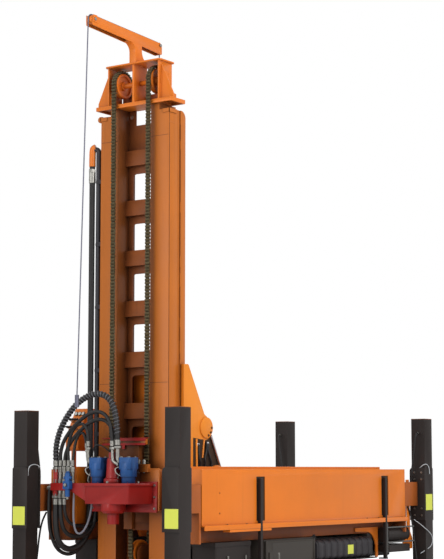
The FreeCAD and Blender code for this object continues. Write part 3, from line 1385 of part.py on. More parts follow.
def main():
    os.makedirs("parts", exist_ok=True)
    sides = (("left", 1), ("right", -1))
    export("chassis_frame", *chassis_frame())
    loop = track_loop()
    for name, side in sides:
        export("track_" + name, sided(loop, side))
        for end, x in (("front", LEG_FRONT_X), ("rear", LEG_REAR_X)):
            export("leg_ram_" + end + "_" + name, sided(leg_ram(x), side))
    tubes = both_sides(leg_tube(LEG_FRONT_X)) + both_sides(leg_tube(LEG_REAR_X))
    export("leg_tubes", *tubes)
    export("track_frames", *both_sides(track_frame()))
    export("rod_trays", *both_sides(rod_tray()))
    export("side_frames", *side_frames())
    export("deck_plates", *deck_plates())
    export("mast_brackets", *mast_brackets())
    export("tray_posts", *tray_posts())
    export("tool_cabinet", tool_cabinet())
    export("cabinet_door", cabinet_door())
    export("fuel_tank", fuel_tank())
    export("hydraulic_tank", hydraulic_tank())
    export("engine_block", engine_block())
    export("radiator", radiator())
    export("muffler", muffler())
    export("air_cleaner", air_cleaner())
    export("console", console())
    export("carrier_plates", *carrier_plates())
    export("carrier_frame", carrier_frame())
    export("lift_barrels", *lift_barrels())
    export("lift_rods", *lift_rods())
    export("mast_columns", *mast_columns())
    export("mast_ladder", *mast_ladder())
    export("head_frame", head_frame())
    export("feed_wheels", *feed_wheels())
    export("feed_chains", *feed_chains())
    export("jib_arm", jib_arm())
    export("hoist_rope", hoist_rope())
    export("mast_winch", mast_winch())
    export("rod_clamp", rod_clamp())
    export("carriage", carriage())
    export("gearbox", gearbox())
    export("spindle", spindle())
    export("swivel", swivel())
    export("head_motors", *head_motors())
    export("manifold", manifold())
    export("head_hoses", *head_hoses())
    export("mast_pipes", mast_pipes())
    export("supply_hoses", *supply_hoses())


main()
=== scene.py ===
"""Crawler water well drilling rig: paint, hoses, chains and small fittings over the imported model.

Metres; +X is the mast end, +Y the machine's left, +Z up.
"""
import json
import math
import bmesh
import bpy
from mathutils import Matrix, Vector


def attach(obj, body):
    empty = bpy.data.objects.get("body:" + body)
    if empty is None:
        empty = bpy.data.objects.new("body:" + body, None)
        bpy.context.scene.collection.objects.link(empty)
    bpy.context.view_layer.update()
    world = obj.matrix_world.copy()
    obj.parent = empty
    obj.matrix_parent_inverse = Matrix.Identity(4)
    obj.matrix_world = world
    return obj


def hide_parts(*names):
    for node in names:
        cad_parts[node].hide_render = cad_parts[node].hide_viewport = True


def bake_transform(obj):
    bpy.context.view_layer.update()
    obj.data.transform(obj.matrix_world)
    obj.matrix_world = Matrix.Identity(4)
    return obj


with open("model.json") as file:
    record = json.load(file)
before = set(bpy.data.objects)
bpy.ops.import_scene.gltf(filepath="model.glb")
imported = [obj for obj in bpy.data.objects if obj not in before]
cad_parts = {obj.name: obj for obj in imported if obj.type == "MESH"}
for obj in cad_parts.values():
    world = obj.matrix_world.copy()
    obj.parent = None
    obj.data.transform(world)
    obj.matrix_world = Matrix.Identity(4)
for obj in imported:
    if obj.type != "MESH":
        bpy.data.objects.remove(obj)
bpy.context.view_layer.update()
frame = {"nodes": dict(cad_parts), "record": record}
BODY_OF = {node: body for body, nodes in frame["record"]["behaviour"]["bodies"].items()
           for node in nodes}


# ---------------------------------------------------------------- paints and surfaces
def tint(red, green, blue):
    """Linear colour from the 0 to 255 values of a paint chart."""
    def channel(value):
        value /= 255
        return value / 12.92 if value <= 0.04045 else ((value + 0.055) / 1.055) ** 2.4
    return (channel(red), channel(green), channel(blue), 1.0)


def shade(colour, factor):
    """A lighter or darker version of a colour."""
    return tuple(min(1.0, channel * factor) for channel in colour[:3]) + (1.0,)


INNER_SHADE_EDGE = 0.004      # width over which the painted shade in the mast's middle fades
INNER_SHADE_SHARE = 0.62
DUST_SHARE = 0.55
DUST = tint(150, 132, 108)


def surface(name, colour, rough=0.4, metal=0.0, mottle=0.1, patch=2.5, grain=0.0, grain_size=180,
            corner_shade=None, corner_shade_share=0.5, reach=0.09, dust_top=0.0, coat=0.0, streaks=0.0,
            gloss=0.3, shaded_within=0.0):
    """Finish with uneven colour, painted shade in the corners and in the middle across the piece, dust near
    the ground and a fine grain.
    """
    material = bpy.data.materials.new(name)
    material.use_nodes = True
    nodes = material.node_tree.nodes
    links = material.node_tree.links
    shader = nodes["Principled BSDF"]
    shader.inputs["Metallic"].default_value = metal
    shader.inputs["Specular IOR Level"].default_value = gloss
    shader.inputs["Coat Weight"].default_value = coat
    shader.inputs["Coat Roughness"].default_value = 0.15
    place = nodes.new("ShaderNodeTexCoord").outputs["Object"]

    def noise(scale, detail, vector=place):
        """Noise over the piece."""
        node = nodes.new("ShaderNodeTexNoise")
        node.inputs["Scale"].default_value = scale
        node.inputs["Detail"].default_value = detail
        links.new(vector, node.inputs["Vector"])
        return node.outputs["Fac"]

    def ranged(value, low, high, to_low=0.0, to_high=1.0):
        """Value taken from one range to another."""
        node = nodes.new("ShaderNodeMapRange")
        for socket, number in (("From Min", low), ("From Max", high), ("To Min", to_low),
                               ("To Max", to_high)):
            node.inputs[socket].default_value = number
        links.new(value, node.inputs["Value"])
        return node.outputs["Result"]

    def along_axis(axis):
        """Place on the piece along one axis."""
        node = nodes.new("ShaderNodeSeparateXYZ")
        links.new(place, node.inputs["Vector"])
        return node.outputs[axis]

    def computed(operation, first, second=None):
        """Result of a sum on one or two values."""
        node = nodes.new("ShaderNodeMath")
        node.operation = operation
        links.new(first, node.inputs[0])
        if second is not None:
            links.new(second, node.inputs[1])
        return node.outputs["Value"]

    def laid_over(below, above, share):
        """Colour over another colour by a share."""
        node = nodes.new("ShaderNodeMix")
        node.data_type = "RGBA"
        node.inputs["B"].default_value = above
        links.new(below, node.inputs["A"])
        links.new(share, node.inputs["Factor"])
        return node.outputs["Result"]

    cloud = noise(patch, 6)
    base = nodes.new("ShaderNodeMix")
    base.data_type = "RGBA"
    base.inputs["A"].default_value = shade(colour, 1 - mottle)
    base.inputs["B"].default_value = shade(colour, 1 + mottle)
    links.new(ranged(cloud, 0.3, 0.7), base.inputs["Factor"])
    result = base.outputs["Result"]
    if streaks:
        stretch = nodes.new("ShaderNodeMapping")
        stretch.inputs["Scale"].default_value = (28, 28, 1.2)
        links.new(place, stretch.inputs["Vector"])
        runs = noise(1, 3, stretch.outputs["Vector"])
        result = laid_over(result, shade(colour, 0.55), ranged(runs, 0.55, 0.8, 0, streaks))
    # Ambient occlusion darkens the colour in corners and recesses: painted shade.
    if corner_shade:
        corners = nodes.new("ShaderNodeAmbientOcclusion")
        corners.inputs["Distance"].default_value = reach
        corners.samples = 4
        result = laid_over(result, corner_shade, ranged(corners.outputs["AO"], 0.25, 0.85, corner_shade_share, 0))
    # Darkens the middle of the piece across the machine: painted shade inside the mast's channel.
    if shaded_within:
        across = computed("ABSOLUTE", along_axis("Y"))
        result = laid_over(result, corner_shade,
                           ranged(across, shaded_within, shaded_within + INNER_SHADE_EDGE, INNER_SHADE_SHARE, 0))
    if dust_top:
        fall = ranged(along_axis("Z"), 0, dust_top, DUST_SHARE, 0)
        result = laid_over(result, DUST, computed("MULTIPLY", fall, noise(14, 8)))
    links.new(result, shader.inputs["Base Color"])
    links.new(ranged(cloud, 0, 1, max(0.05, rough - 0.08), min(1.0, rough + 0.12)),
              shader.inputs["Roughness"])

    if grain:
        bump = nodes.new("ShaderNodeBump")
        bump.inputs["Strength"].default_value = grain
        bump.inputs["Distance"].default_value = 0.002
        links.new(noise(grain_size, 3), bump.inputs["Height"])
        links.new(bump.outputs["Normal"], shader.inputs["Normal"])
    return material


# Tones that the painted shade in corners darkens each finish towards.
ORANGE_SHADE_TONE = tint(70, 38, 22)
DARK_SHADE_TONE = tint(24, 21, 20)
ORANGE = surface("orange enamel", tint(232, 124, 32), 0.4, mottle=0.05, grain=0.05, corner_shade=ORANGE_SHADE_TONE,
                 corner_shade_share=0.6, reach=0.15, coat=0.08, streaks=0.1)
# Darker copy of the orange enamel: painted shade on the mast and carriage.
SHADED_MAST_ORANGE = surface("mast orange with painted shade", tint(196, 108, 30), 0.42, mottle=0.07, patch=1.6,
                      grain=0.05, corner_shade=ORANGE_SHADE_TONE, corner_shade_share=0.85, reach=0.5, coat=0.06,
                      streaks=0.25, shaded_within=0.2005)
# Darker copy of the orange for the ladder inside the mast's channel: painted shade.
SHADED_LADDER_ORANGE = surface("ladder orange with painted shade", tint(150, 80, 32), 0.48, mottle=0.15, patch=5,
                        grain=0.08, corner_shade=ORANGE_SHADE_TONE, corner_shade_share=0.8, reach=0.3,
                        streaks=0.4)
# Lighter copy of the orange enamel: painted light on the carrier plates, ribs and edge strips.
LIT_ORANGE = surface("orange enamel with painted light", tint(240, 142, 38), 0.4, mottle=0.05, grain=0.05,
                        corner_shade=ORANGE_SHADE_TONE, corner_shade_share=0.5, coat=0.08, streaks=0.1)
BEAM_ORANGE = surface("shaded orange enamel", tint(172, 90, 34), 0.45, mottle=0.1, patch=4,
                      grain=0.08, corner_shade=ORANGE_SHADE_TONE, corner_shade_share=0.8, reach=0.3, streaks=0.3)
DARK_ORANGE = surface("worn orange enamel", tint(150, 80, 40), 0.5, mottle=0.15, patch=12,
                      grain=0.1, corner_shade=ORANGE_SHADE_TONE, corner_shade_share=0.7)
BLACK = surface("black enamel", tint(44, 38, 36), 0.45, mottle=0.1, grain=0.06, corner_shade=DARK_SHADE_TONE,
                dust_top=0.6, gloss=0.2)
GREY = surface("dark grey enamel", tint(62, 57, 52), 0.42, mottle=0.08, grain=0.05,
               corner_shade=DARK_SHADE_TONE, gloss=0.25)
RED = surface("red enamel", tint(158, 30, 26), 0.38, mottle=0.08, patch=6, grain=0.05,
              corner_shade=tint(54, 14, 14), corner_shade_share=0.7, coat=0.08, streaks=0.15)
BLUE = surface("blue enamel", tint(34, 84, 146), 0.38, mottle=0.16, patch=9, grain=0.06,
               corner_shade=tint(18, 26, 60), corner_shade_share=0.8, reach=0.16, coat=0.08)
TRACK = surface("track steel", tint(84, 76, 68), 0.5, metal=0.5, mottle=0.22, patch=9, grain=0.35,
                grain_size=90, corner_shade=tint(44, 35, 28), corner_shade_share=0.6, dust_top=0.9)
UNDERCARRIAGE = surface("undercarriage enamel", tint(48, 44, 42), 0.55, mottle=0.15, patch=6,
                        grain=0.2, corner_shade=tint(40, 32, 26), dust_top=0.8)
CHAIN = surface("oiled chain steel", tint(100, 88, 62), 0.4, metal=0.55, mottle=0.2, patch=30,
                grain=0.1, corner_shade=tint(26, 21, 14), corner_shade_share=0.9)
PLASTIC = surface("black moulded plastic", tint(50, 47, 50), 0.5, mottle=0.06, grain=0.25,
                  grain_size=320, corner_shade=tint(18, 16, 16))
RUBBER = surface("hose rubber", tint(30, 28, 28), 0.5, mottle=0.12, patch=12, grain=0.15,
                 grain_size=260, gloss=0.35)
PIPE = surface("pipe enamel", tint(40, 38, 44), 0.4, mottle=0.12, patch=8, grain=0.08,
               corner_shade=DARK_SHADE_TONE)
CHROME = surface("chrome", tint(206, 206, 208), 0.12, metal=1.0, mottle=0.03)
ZINC = surface("zinc plate", tint(146, 144, 138), 0.36, metal=0.85, mottle=0.14, patch=40,
               grain=0.1, corner_shade=tint(60, 54, 46))
RAM = surface("greased steel", tint(96, 92, 88), 0.42, metal=0.6, mottle=0.15, grain=0.1,
              corner_shade=DARK_SHADE_TONE, dust_top=0.5)
ROPE = surface("rope steel", tint(98, 98, 112), 0.4, metal=0.6, mottle=0.2, patch=60, grain=0.5,
               grain_size=420)
SOOT = surface("heat-stained steel", tint(78, 66, 60), 0.6, metal=0.4, mottle=0.25, patch=7,
               grain=0.15, corner_shade=DARK_SHADE_TONE)
YELLOW = surface("yellow plate", tint(224, 230, 92), 0.45, mottle=0.03, grain=0.03)
DIAL = surface("dial face", tint(214, 214, 206), 0.3, mottle=0.02)
BLACK_RUBBER = surface("knob rubber", tint(24, 24, 25), 0.6, mottle=0.1)
SILVER_PAINT = surface("silver paint", tint(150, 150, 148), 0.42, metal=0.5, mottle=0.08)
CAST = surface("grey casting", tint(104, 104, 102), 0.55, metal=0.3, mottle=0.12, patch=12,
               grain=0.25, grain_size=140, corner_shade=DARK_SHADE_TONE, corner_shade_share=0.7)
GUARD = surface("spring guard", tint(92, 92, 96), 0.4, metal=0.4, mottle=0.1)
GREY_LINE = surface("pale grey line", tint(128, 128, 138), 0.45, mottle=0.1)
RED_BOLTS = surface("painted red bolts", tint(138, 34, 32), 0.4, mottle=0.15, patch=30,
                    corner_shade=tint(50, 16, 16))
# Dark brown for weld seams, and for lines of painted shade at the mast columns' corners.
SEAM_AND_SHADE = surface("weld seam and painted shade", tint(96, 54, 30), 0.55, mottle=0.25, patch=30, grain=0.3)
# Dark brown for sheets that stand where slots and openings show only shade: painted shade.
SHADE_SHEET_BROWN = surface("dark sheet of painted shade", tint(66, 50, 38), 0.6, mottle=0.2, patch=8, grain=0.2,
                      corner_shade=DARK_SHADE_TONE, corner_shade_share=0.7, reach=0.2, gloss=0.15)
CHAIN_GAP_SHADE = surface("painted shade between links", tint(30, 25, 18), 0.5, mottle=0.2, patch=40, gloss=0.25)
PALE_CABLE = surface("pale cable", tint(196, 200, 204), 0.4, mottle=0.05)
BLACK_BOLTS = surface("blackened bolts", tint(58, 56, 58), 0.4, metal=0.5, mottle=0.15, patch=30)
ORANGE_BOLTS = surface("painted orange bolts", tint(196, 104, 40), 0.42, mottle=0.12, patch=30,
                       corner_shade=ORANGE_SHADE_TONE)
DARK_BOLTS = surface("oiled bolts", tint(92, 66, 48), 0.45, metal=0.5, mottle=0.2, patch=30)


# ---------------------------------------------------------------- making pieces
def add(name, mesh, finish, body):
    """A finished piece of the rig on the body that carries it."""
    obj = bpy.data.objects.new(name, mesh)
    bpy.context.scene.collection.objects.link(obj)
    mesh.materials.clear()
    mesh.materials.append(finish)
    if body:
        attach(obj, body)
    return obj


def settled(obj):
    """The object's mesh with its modifiers worked in, as a new mesh."""
    bpy.context.view_layer.update()
    graph = bpy.context.evaluated_depsgraph_get()
    return bpy.data.meshes.new_from_object(obj.evaluated_get(graph), depsgraph=graph)


def drop(obj):
    """Takes a helper object out of the scene."""
    bpy.data.objects.remove(obj, do_unlink=True)


def eased(name, shape, finish, body, width=0.003, segments=2, angle=32):
    """A piece from a bmesh with its edges rounded."""
    mesh = bpy.data.meshes.new(name)
    shape.to_mesh(mesh)
    shape.free()
    mesh.polygons.foreach_set("use_smooth", [True] * len(mesh.polygons))
    obj = bpy.data.objects.new(name + "_rough", mesh)
    bpy.context.scene.collection.objects.link(obj)
    bevel = obj.modifiers.new("edges", "BEVEL")
    bevel.width = width
    bevel.segments = segments
    bevel.limit_method = "ANGLE"
    bevel.angle_limit = math.radians(angle)
    bevel.harden_normals = True
    done = settled(obj)
    drop(obj)
    return add(name, done, finish, body)


def dress(node, finish, width):
    """Stands a copy of a CAD node with rounded edges in its place."""
    shape = bmesh.new()
    shape.from_mesh(frame["nodes"][node].data)
    bmesh.ops.remove_doubles(shape, verts=shape.verts, dist=1e-5)
    bmesh.ops.dissolve_limit(shape, angle_limit=math.radians(0.5), verts=shape.verts,
                             edges=shape.edges)
    obj = eased(node + "_finished", shape, finish, BODY_OF[node], width)
    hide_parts(node)


def paint(node, finish):
    """Gives a CAD node its finish as it is."""
    mesh = frame["nodes"][node].data
    mesh.materials.clear()
    mesh.materials.append(finish)


def slab(shape, low, high):
    """Box between two corners."""
    low, high = Vector(low), Vector(high)
    middle = (low + high) / 2
    size = high - low
    place = Matrix.Translation(middle) @ Matrix.Diagonal((*(abs(s) for s in size), 1))
    bmesh.ops.create_cube(shape, size=1, matrix=place)


def turned(shape, start, end, radius, far_radius=None, sides=24):
    """Round bar or cone from one point to another."""
    start, end = Vector(start), Vector(end)
    way = end - start
    place = Matrix.Translation((start + end) / 2) @ way.to_track_quat("Z", "Y").to_matrix().to_4x4()
    bmesh.ops.create_cone(shape, cap_ends=True, segments=sides, radius1=radius,
                          radius2=radius if far_radius is None else far_radius,
                          depth=way.length, matrix=place)


def line_object(name, points, straight=False):
    """Helper curve through a route: straight from point to point, or smooth."""
    curve = bpy.data.curves.new(name, "CURVE")
    curve.dimensions = "3D"
    spline = curve.splines.new("POLY" if straight else "NURBS")
    spline.points.add(len(points) - 1)
    for point, where in zip(spline.points, points):
        point.co = (*where, 1)
    if not straight:
        spline.order_u = 3
        spline.use_endpoint_u = True
    obj = bpy.data.objects.new(name + "_line", curve)
    bpy.context.scene.collection.objects.link(obj)
    return obj


def tube_mesh(name, points, radius, sides=16, straight=False):
    """Mesh of a round tube along a route."""
    obj = line_object(name, points, straight)
    obj.data.bevel_depth = radius
    obj.data.bevel_resolution = max(1, sides // 4 - 1)
    obj.data.use_fill_caps = True
    obj.data.resolution_u = 10
    mesh = settled(obj)
    drop(obj)
    mesh.polygons.foreach_set("use_smooth", [True] * len(mesh.polygons))
    return mesh


def cut_plate(shape, outline, near_y, far_y):
    """Flat plate with an outline in X and Z, between two places across the machine."""
    near, far = ([shape.verts.new((x, y, z)) for x, z in outline] for y in (near_y, far_y))
    shape.faces.new(near)
    shape.faces.new(list(reversed(far)))
    for i in range(len(outline)):
        j = (i + 1) % len(outline)
        shape.faces.new((near[i], far[i], far[j], near[j]))


def joined(name, meshes, finish, body):
    """One piece from several meshes."""
    shape = bmesh.new()
    for mesh in meshes:
        shape.from_mesh(mesh)
    whole = bpy.data.meshes.new(name)
    shape.to_mesh(whole)
    shape.free()
    return add(name, whole, finish, body)


# ---------------------------------------------------------------- repeated fittings
def copies_tree(along_line):
    """Tree that sets an item at points, facing their way, or at even steps along a line."""
    tree = bpy.data.node_groups.new("links on a line" if along_line else "fittings on points",
                                    "GeometryNodeTree")
    face = tree.interface
    face.new_socket("Geometry", in_out="INPUT", socket_type="NodeSocketGeometry")
    face.new_socket("Item", in_out="INPUT", socket_type="NodeSocketObject")
    face.new_socket("Finish", in_out="INPUT", socket_type="NodeSocketMaterial")
    if along_line:
        face.new_socket("Pitch", in_out="INPUT", socket_type="NodeSocketFloat")
    face.new_socket("Geometry", in_out="OUTPUT", socket_type="NodeSocketGeometry")
    nodes, links = tree.nodes, tree.links
    given = nodes.new("NodeGroupInput")
    item = nodes.new("GeometryNodeObjectInfo")
    links.new(given.outputs["Item"], item.inputs["Object"])
    turn = nodes.new("FunctionNodeAlignRotationToVector")
    instance = nodes.new("GeometryNodeInstanceOnPoints")
    if along_line:
        steps = nodes.new("GeometryNodeCurveToPoints")
        steps.mode = "LENGTH"
        links.new(given.outputs["Geometry"], steps.inputs["Curve"])
        links.new(given.outputs["Pitch"], steps.inputs["Length"])
        links.new(steps.outputs["Points"], instance.inputs["Points"])
        turn.axis = "X"
        turn.pivot_axis = "Y"
        links.new(steps.outputs["Tangent"], turn.inputs["Vector"])
    else:
        way = nodes.new("GeometryNodeInputNamedAttribute")
        way.data_type = "FLOAT_VECTOR"
        way.inputs["Name"].default_value = "way"
        links.new(given.outputs["Geometry"], instance.inputs["Points"])
        turn.axis = "Z"
        links.new(way.outputs["Attribute"], turn.inputs["Vector"])
    links.new(turn.outputs["Rotation"], instance.inputs["Rotation"])
    links.new(item.outputs["Geometry"], instance.inputs["Instance"])
    real = nodes.new("GeometryNodeRealizeInstances")
    links.new(instance.outputs["Instances"], real.inputs["Geometry"])
    coat = nodes.new("GeometryNodeSetMaterial")
    links.new(real.outputs["Geometry"], coat.inputs["Geometry"])
    links.new(given.outputs["Finish"], coat.inputs["Material"])
    result = nodes.new("NodeGroupOutput")
    links.new(coat.outputs["Geometry"], result.inputs["Geometry"])
    return tree


ON_POINTS = copies_tree(False)
ON_LINE = copies_tree(True)


def item_object(name, shape):
    """Helper object that a tree copies."""
    mesh = bpy.data.meshes.new(name)
    shape.to_mesh(mesh)
    shape.free()
    obj = bpy.data.objects.new(name, mesh)
    bpy.context.scene.collection.objects.link(obj)
    return obj


def run_tree(carrier, tree, values):
    """The tree's result on a helper object, as a plain mesh."""
    modifier = carrier.modifiers.new("copies", "NODES")
    modifier.node_group = tree
    for socket in tree.interface.items_tree:
        if socket.in_out == "INPUT" and socket.name in values:
            modifier[socket.identifier] = values[socket.name]
    mesh = settled(carrier)
    carrier.modifiers.clear()
    drop(carrier)
    return mesh


def on_points(name, places, item, finish, body):
    """Copies of an item at places, each given as (point, way it faces)."""
    mesh = bpy.data.meshes.new(name)
    mesh.from_pydata([point for point, way in places], [], [])
    attribute = mesh.attributes.new("way", "FLOAT_VECTOR", "POINT")
    attribute.data.foreach_set("vector", [value for point, way in places for value in way])
    carrier = bpy.data.objects.new(name + "_points", mesh)
    bpy.context.scene.collection.objects.link(carrier)
    result = run_tree(carrier, ON_POINTS, {"Item": item, "Finish": finish})
    return add(name, result, finish, body)


def along(points, item, finish, pitch):
    """Mesh of copies of an item along a line at an even pitch."""
    return run_tree(line_object("run", points, True), ON_LINE,
                    {"Item": item, "Finish": finish, "Pitch": pitch})


def bolt_item(radius):
    """Hexagon head on a washer, standing on its seat."""
    shape = bmesh.new()
    turned(shape, (0, 0, -0.001), (0, 0, radius * 0.3), radius * 1.5, sides=16)
    turned(shape, (0, 0, 0), (0, 0, radius * 1.3), radius, radius * 0.94, sides=6)
    return item_object("bolt", shape)


BOLT = bolt_item(0.008)
SMALL_BOLT = bolt_item(0.0055)


def sided(places):
    """The places and their copies on the machine's other side."""
    return places + [((x, -y, z), (a, -b, c)) for (x, y, z), (a, b, c) in places]


def ring(centre, radius, count, way, start=0.0):
    """Bolt places on a circle that faces up or across the machine."""
    x, y, z = centre
    places = []
    for i in range(count):
        turn = start + 2 * math.pi * i / count
        a, b = radius * math.cos(turn), radius * math.sin(turn)
        places.append(((x + a, y, z + b) if way[1] else (x + a, y + b, z), way))
    return places


# ---------------------------------------------------------------- CAD nodes in their paint
for node, finish, width in (
        ("rod_trays", ORANGE, 0.003), ("side_frames", BEAM_ORANGE, 0.004),
        ("mast_brackets", ORANGE, 0.003), ("carrier_plates", LIT_ORANGE, 0.004),
        ("carrier_frame", ORANGE, 0.003), ("mast_columns", SHADED_MAST_ORANGE, 0.006),
        ("mast_ladder", SHADED_LADDER_ORANGE, 0.002), ("head_frame", ORANGE, 0.003),
        ("jib_arm", ORANGE, 0.004), ("carriage", SHADED_MAST_ORANGE, 0.003), ("console", ORANGE, 0.004),
        ("feed_wheels", ORANGE, 0.002), ("mast_winch", ORANGE, 0.003),
        ("rod_clamp", ORANGE, 0.003), ("lift_barrels", ORANGE, 0.003),
        ("gearbox", RED, 0.005), ("swivel", RED, 0.003), ("manifold", RED, 0.003),
        ("head_motors", BLUE, 0.005), ("leg_tubes", BLACK, 0.005),
        ("deck_plates", BLACK, 0.002), ("chassis_frame", UNDERCARRIAGE, 0.003),
        ("track_frames", UNDERCARRIAGE, 0.004), ("tool_cabinet", GREY, 0.003),
        ("cabinet_door", GREY, 0.003), ("hydraulic_tank", GREY, 0.005),
        ("fuel_tank", PLASTIC, 0.006), ("radiator", GREY, 0.004), ("engine_block", CAST, 0.012),
        ("air_cleaner", BLACK, 0.006), ("leg_ram_front_left", RAM, 0.003),
        ("leg_ram_front_right", RAM, 0.003), ("leg_ram_rear_left", RAM, 0.003),
        ("leg_ram_rear_right", RAM, 0.003)):
    dress(node, finish, width)
for node, finish in (("track_left", TRACK), ("track_right", TRACK), ("feed_chains", CHAIN),
                     ("spindle", RED), ("muffler", SOOT), ("mast_pipes", PIPE),
                     ("lift_rods", CHROME), ("hoist_rope", ROPE), ("head_hoses", RUBBER),
                     ("supply_hoses", RUBBER)):
    paint(node, finish)


# ---------------------------------------------------------------- leaf chains on the mast
PITCH = 0.0318
WHEEL_AT = (1.670, 5.340)
FOOT_WHEEL_AT = (1.670, 0.790)
PITCH_RADIUS = 0.1403
LINK_THICK = 0.0062
LINK_LOBE = 0.0132
LINK_WAIST = 0.0045
PIN_RADIUS = 0.0098
PIN_REACH = 0.0255
CHAIN_Y = 0.213
CORE_REACH = 0.022    # half the width of the dark strip inside a chain, painted shade between its plates
CORE_THICK = 0.0022
# each chain: place across the mast, its wheel, and where its front and rear runs end
CHAINS = ((CHAIN_Y, WHEEL_AT, 1.300, 5.115), (-CHAIN_Y, WHEEL_AT, 1.300, 5.115),
          (0.030, FOOT_WHEEL_AT, 1.050, 1.290))


def link_plate(shape, y):
    """Waisted chain plate over two pins, lying along X."""
    outline = []
    for end in (1, -1):
        for step in range(-2, 3):
            turn = step * math.radians(46)
            outline.append((end * (PITCH / 2 + LINK_LOBE * math.cos(turn)),
                            end * LINK_LOBE * math.sin(turn)))
        outline.append((0, end * LINK_WAIST))
    cut_plate(shape, outline, y - LINK_THICK / 2, y + LINK_THICK / 2)


def link_item(rows, pins):
    """Plates of one link side by side, with its two pins where asked."""
    shape = bmesh.new()
    for y in rows:
        link_plate(shape, y)
    if pins:
        for x in (-PITCH / 2, PITCH / 2):
            turned(shape, (x, -PIN_REACH, 0), (x, PIN_REACH, 0), PIN_RADIUS, sides=10)
    return item_object("link", shape)


def chain_line(y, wheel, front_end, rear_end, shift):
    """Pitch line of a chain: up or down the front, round its wheel and along the back."""
    x, z = wheel
    rise = 1 if z > front_end else -1
    points = [(x + PITCH_RADIUS, y, front_end + rise * shift)]
    for step in range(25):
        turn = math.pi * step / 24
        points.append((x + PITCH_RADIUS * math.cos(turn), y,
                       z + rise * PITCH_RADIUS * math.sin(turn)))
    points.append((x - PITCH_RADIUS, y, rear_end - rise * shift))
    return points


OUTER_LINK = link_item((-0.021, -0.007, 0.007, 0.021), True)
INNER_LINK = link_item((-0.014, 0, 0.014), False)
chain_runs = []
for y, wheel, front_end, rear_end in CHAINS:
    for item, shift in ((OUTER_LINK, 0), (INNER_LINK, PITCH)):
        chain_runs.append(along(chain_line(y, wheel, front_end, rear_end, shift), item, CHAIN,
                                2 * PITCH))
# A dark strip along each chain's middle: painted shade in the gaps between the plates.
shade_cores = bmesh.new()
for y, wheel, front_end, rear_end in CHAINS:
    line = chain_line(y, wheel, front_end, rear_end, 0)
    middle = Vector((wheel[0], y, wheel[1]))
    rings = []
    for point in line:
        point = Vector(point)
        out = point - middle
        if (point.z - wheel[1]) * (front_end - wheel[1]) > 0:
            out.z = 0
        out = out.normalized() * CORE_THICK
        rings.append([shade_cores.verts.new(point + out * a + Vector((0, b, 0)))
                      for a, b in ((-1, -CORE_REACH), (1, -CORE_REACH), (1, CORE_REACH),
                                   (-1, CORE_REACH))])
    for first, second in zip(rings, rings[1:]):
        for i in range(4):
            j = (i + 1) % 4
            shade_cores.faces.new((first[i], first[j], second[j], second[i]))
    shade_cores.faces.new(rings[0])
    shade_cores.faces.new(list(reversed(rings[-1])))
bmesh.ops.recalc_face_normals(shade_cores, faces=shade_cores.faces)
core_mesh = bpy.data.meshes.new("feed_chain_cores")
shade_cores.to_mesh(core_mesh)
shade_cores.free()
add("feed_chain_cores", core_mesh, CHAIN_GAP_SHADE, "mast")
chains = joined("feed_chain_links", chain_runs, CHAIN, "mast")
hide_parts("feed_chains")
drop(OUTER_LINK)
drop(INNER_LINK)


# ---------------------------------------------------------------- hoses of the drill head
def hose_line(points):
    """Points along the smooth line through a hose's route."""
    obj = line_object("route", points)
    obj.data.resolution_u = 12
    mesh = settled(obj)
    drop(obj)
    return [vertex.co.copy() for vertex in mesh.vertices]


def spiral(route, radius, pitch, wire):
    """Mesh of a guard spring wound round a hose's line."""
    line = hose_line(route)
    length = sum((b - a).length for a, b in zip(line, line[1:]))
    steps = int(length / pitch * 10)
    side = (line[1] - line[0]).orthogonal().normalized()
    turns = []
    gone, i = 0.0, 0
    for step in range(steps + 1):
        want = length * step / steps
        while i < len(line) - 2 and gone + (line[i + 1] - line[i]).length < want:
            gone += (line[i + 1] - line[i]).length
            i += 1
        run = line[i + 1] - line[i]
        way = run.normalized()
        side = (side - way * side.dot(way)).normalized()
        angle = 2 * math.pi * want / pitch
        at = line[i] + way * (want - gone)
        turns.append(at + side * (radius * math.cos(angle))
                     + way.cross(side) * (radius * math.sin(angle)))
    return tube_mesh("guard", turns, wire, sides=8, straight=True)


def hose_end(shape, end, way, radius, collar=0.055):
    """Crimped collar, hexagon nut and tail where a hose meets its port; way points to the hose."""
    end, way = Vector(end), Vector(way).normalized()
    nut = radius * 1.25 + 0.004
    turned(shape, end, end + way * 0.022, nut, sides=6)
    turned(shape, end + way * 0.020, end + way * 0.032, radius * 0.8, sides=16)
    turned(shape, end + way * 0.030, end + way * (0.030 + collar), radius + 0.0035, sides=20)
    turned(shape, end + way * (0.034 + collar * 0.35), end + way * (0.034 + collar * 0.5),
           radius + 0.0048, sides=20)


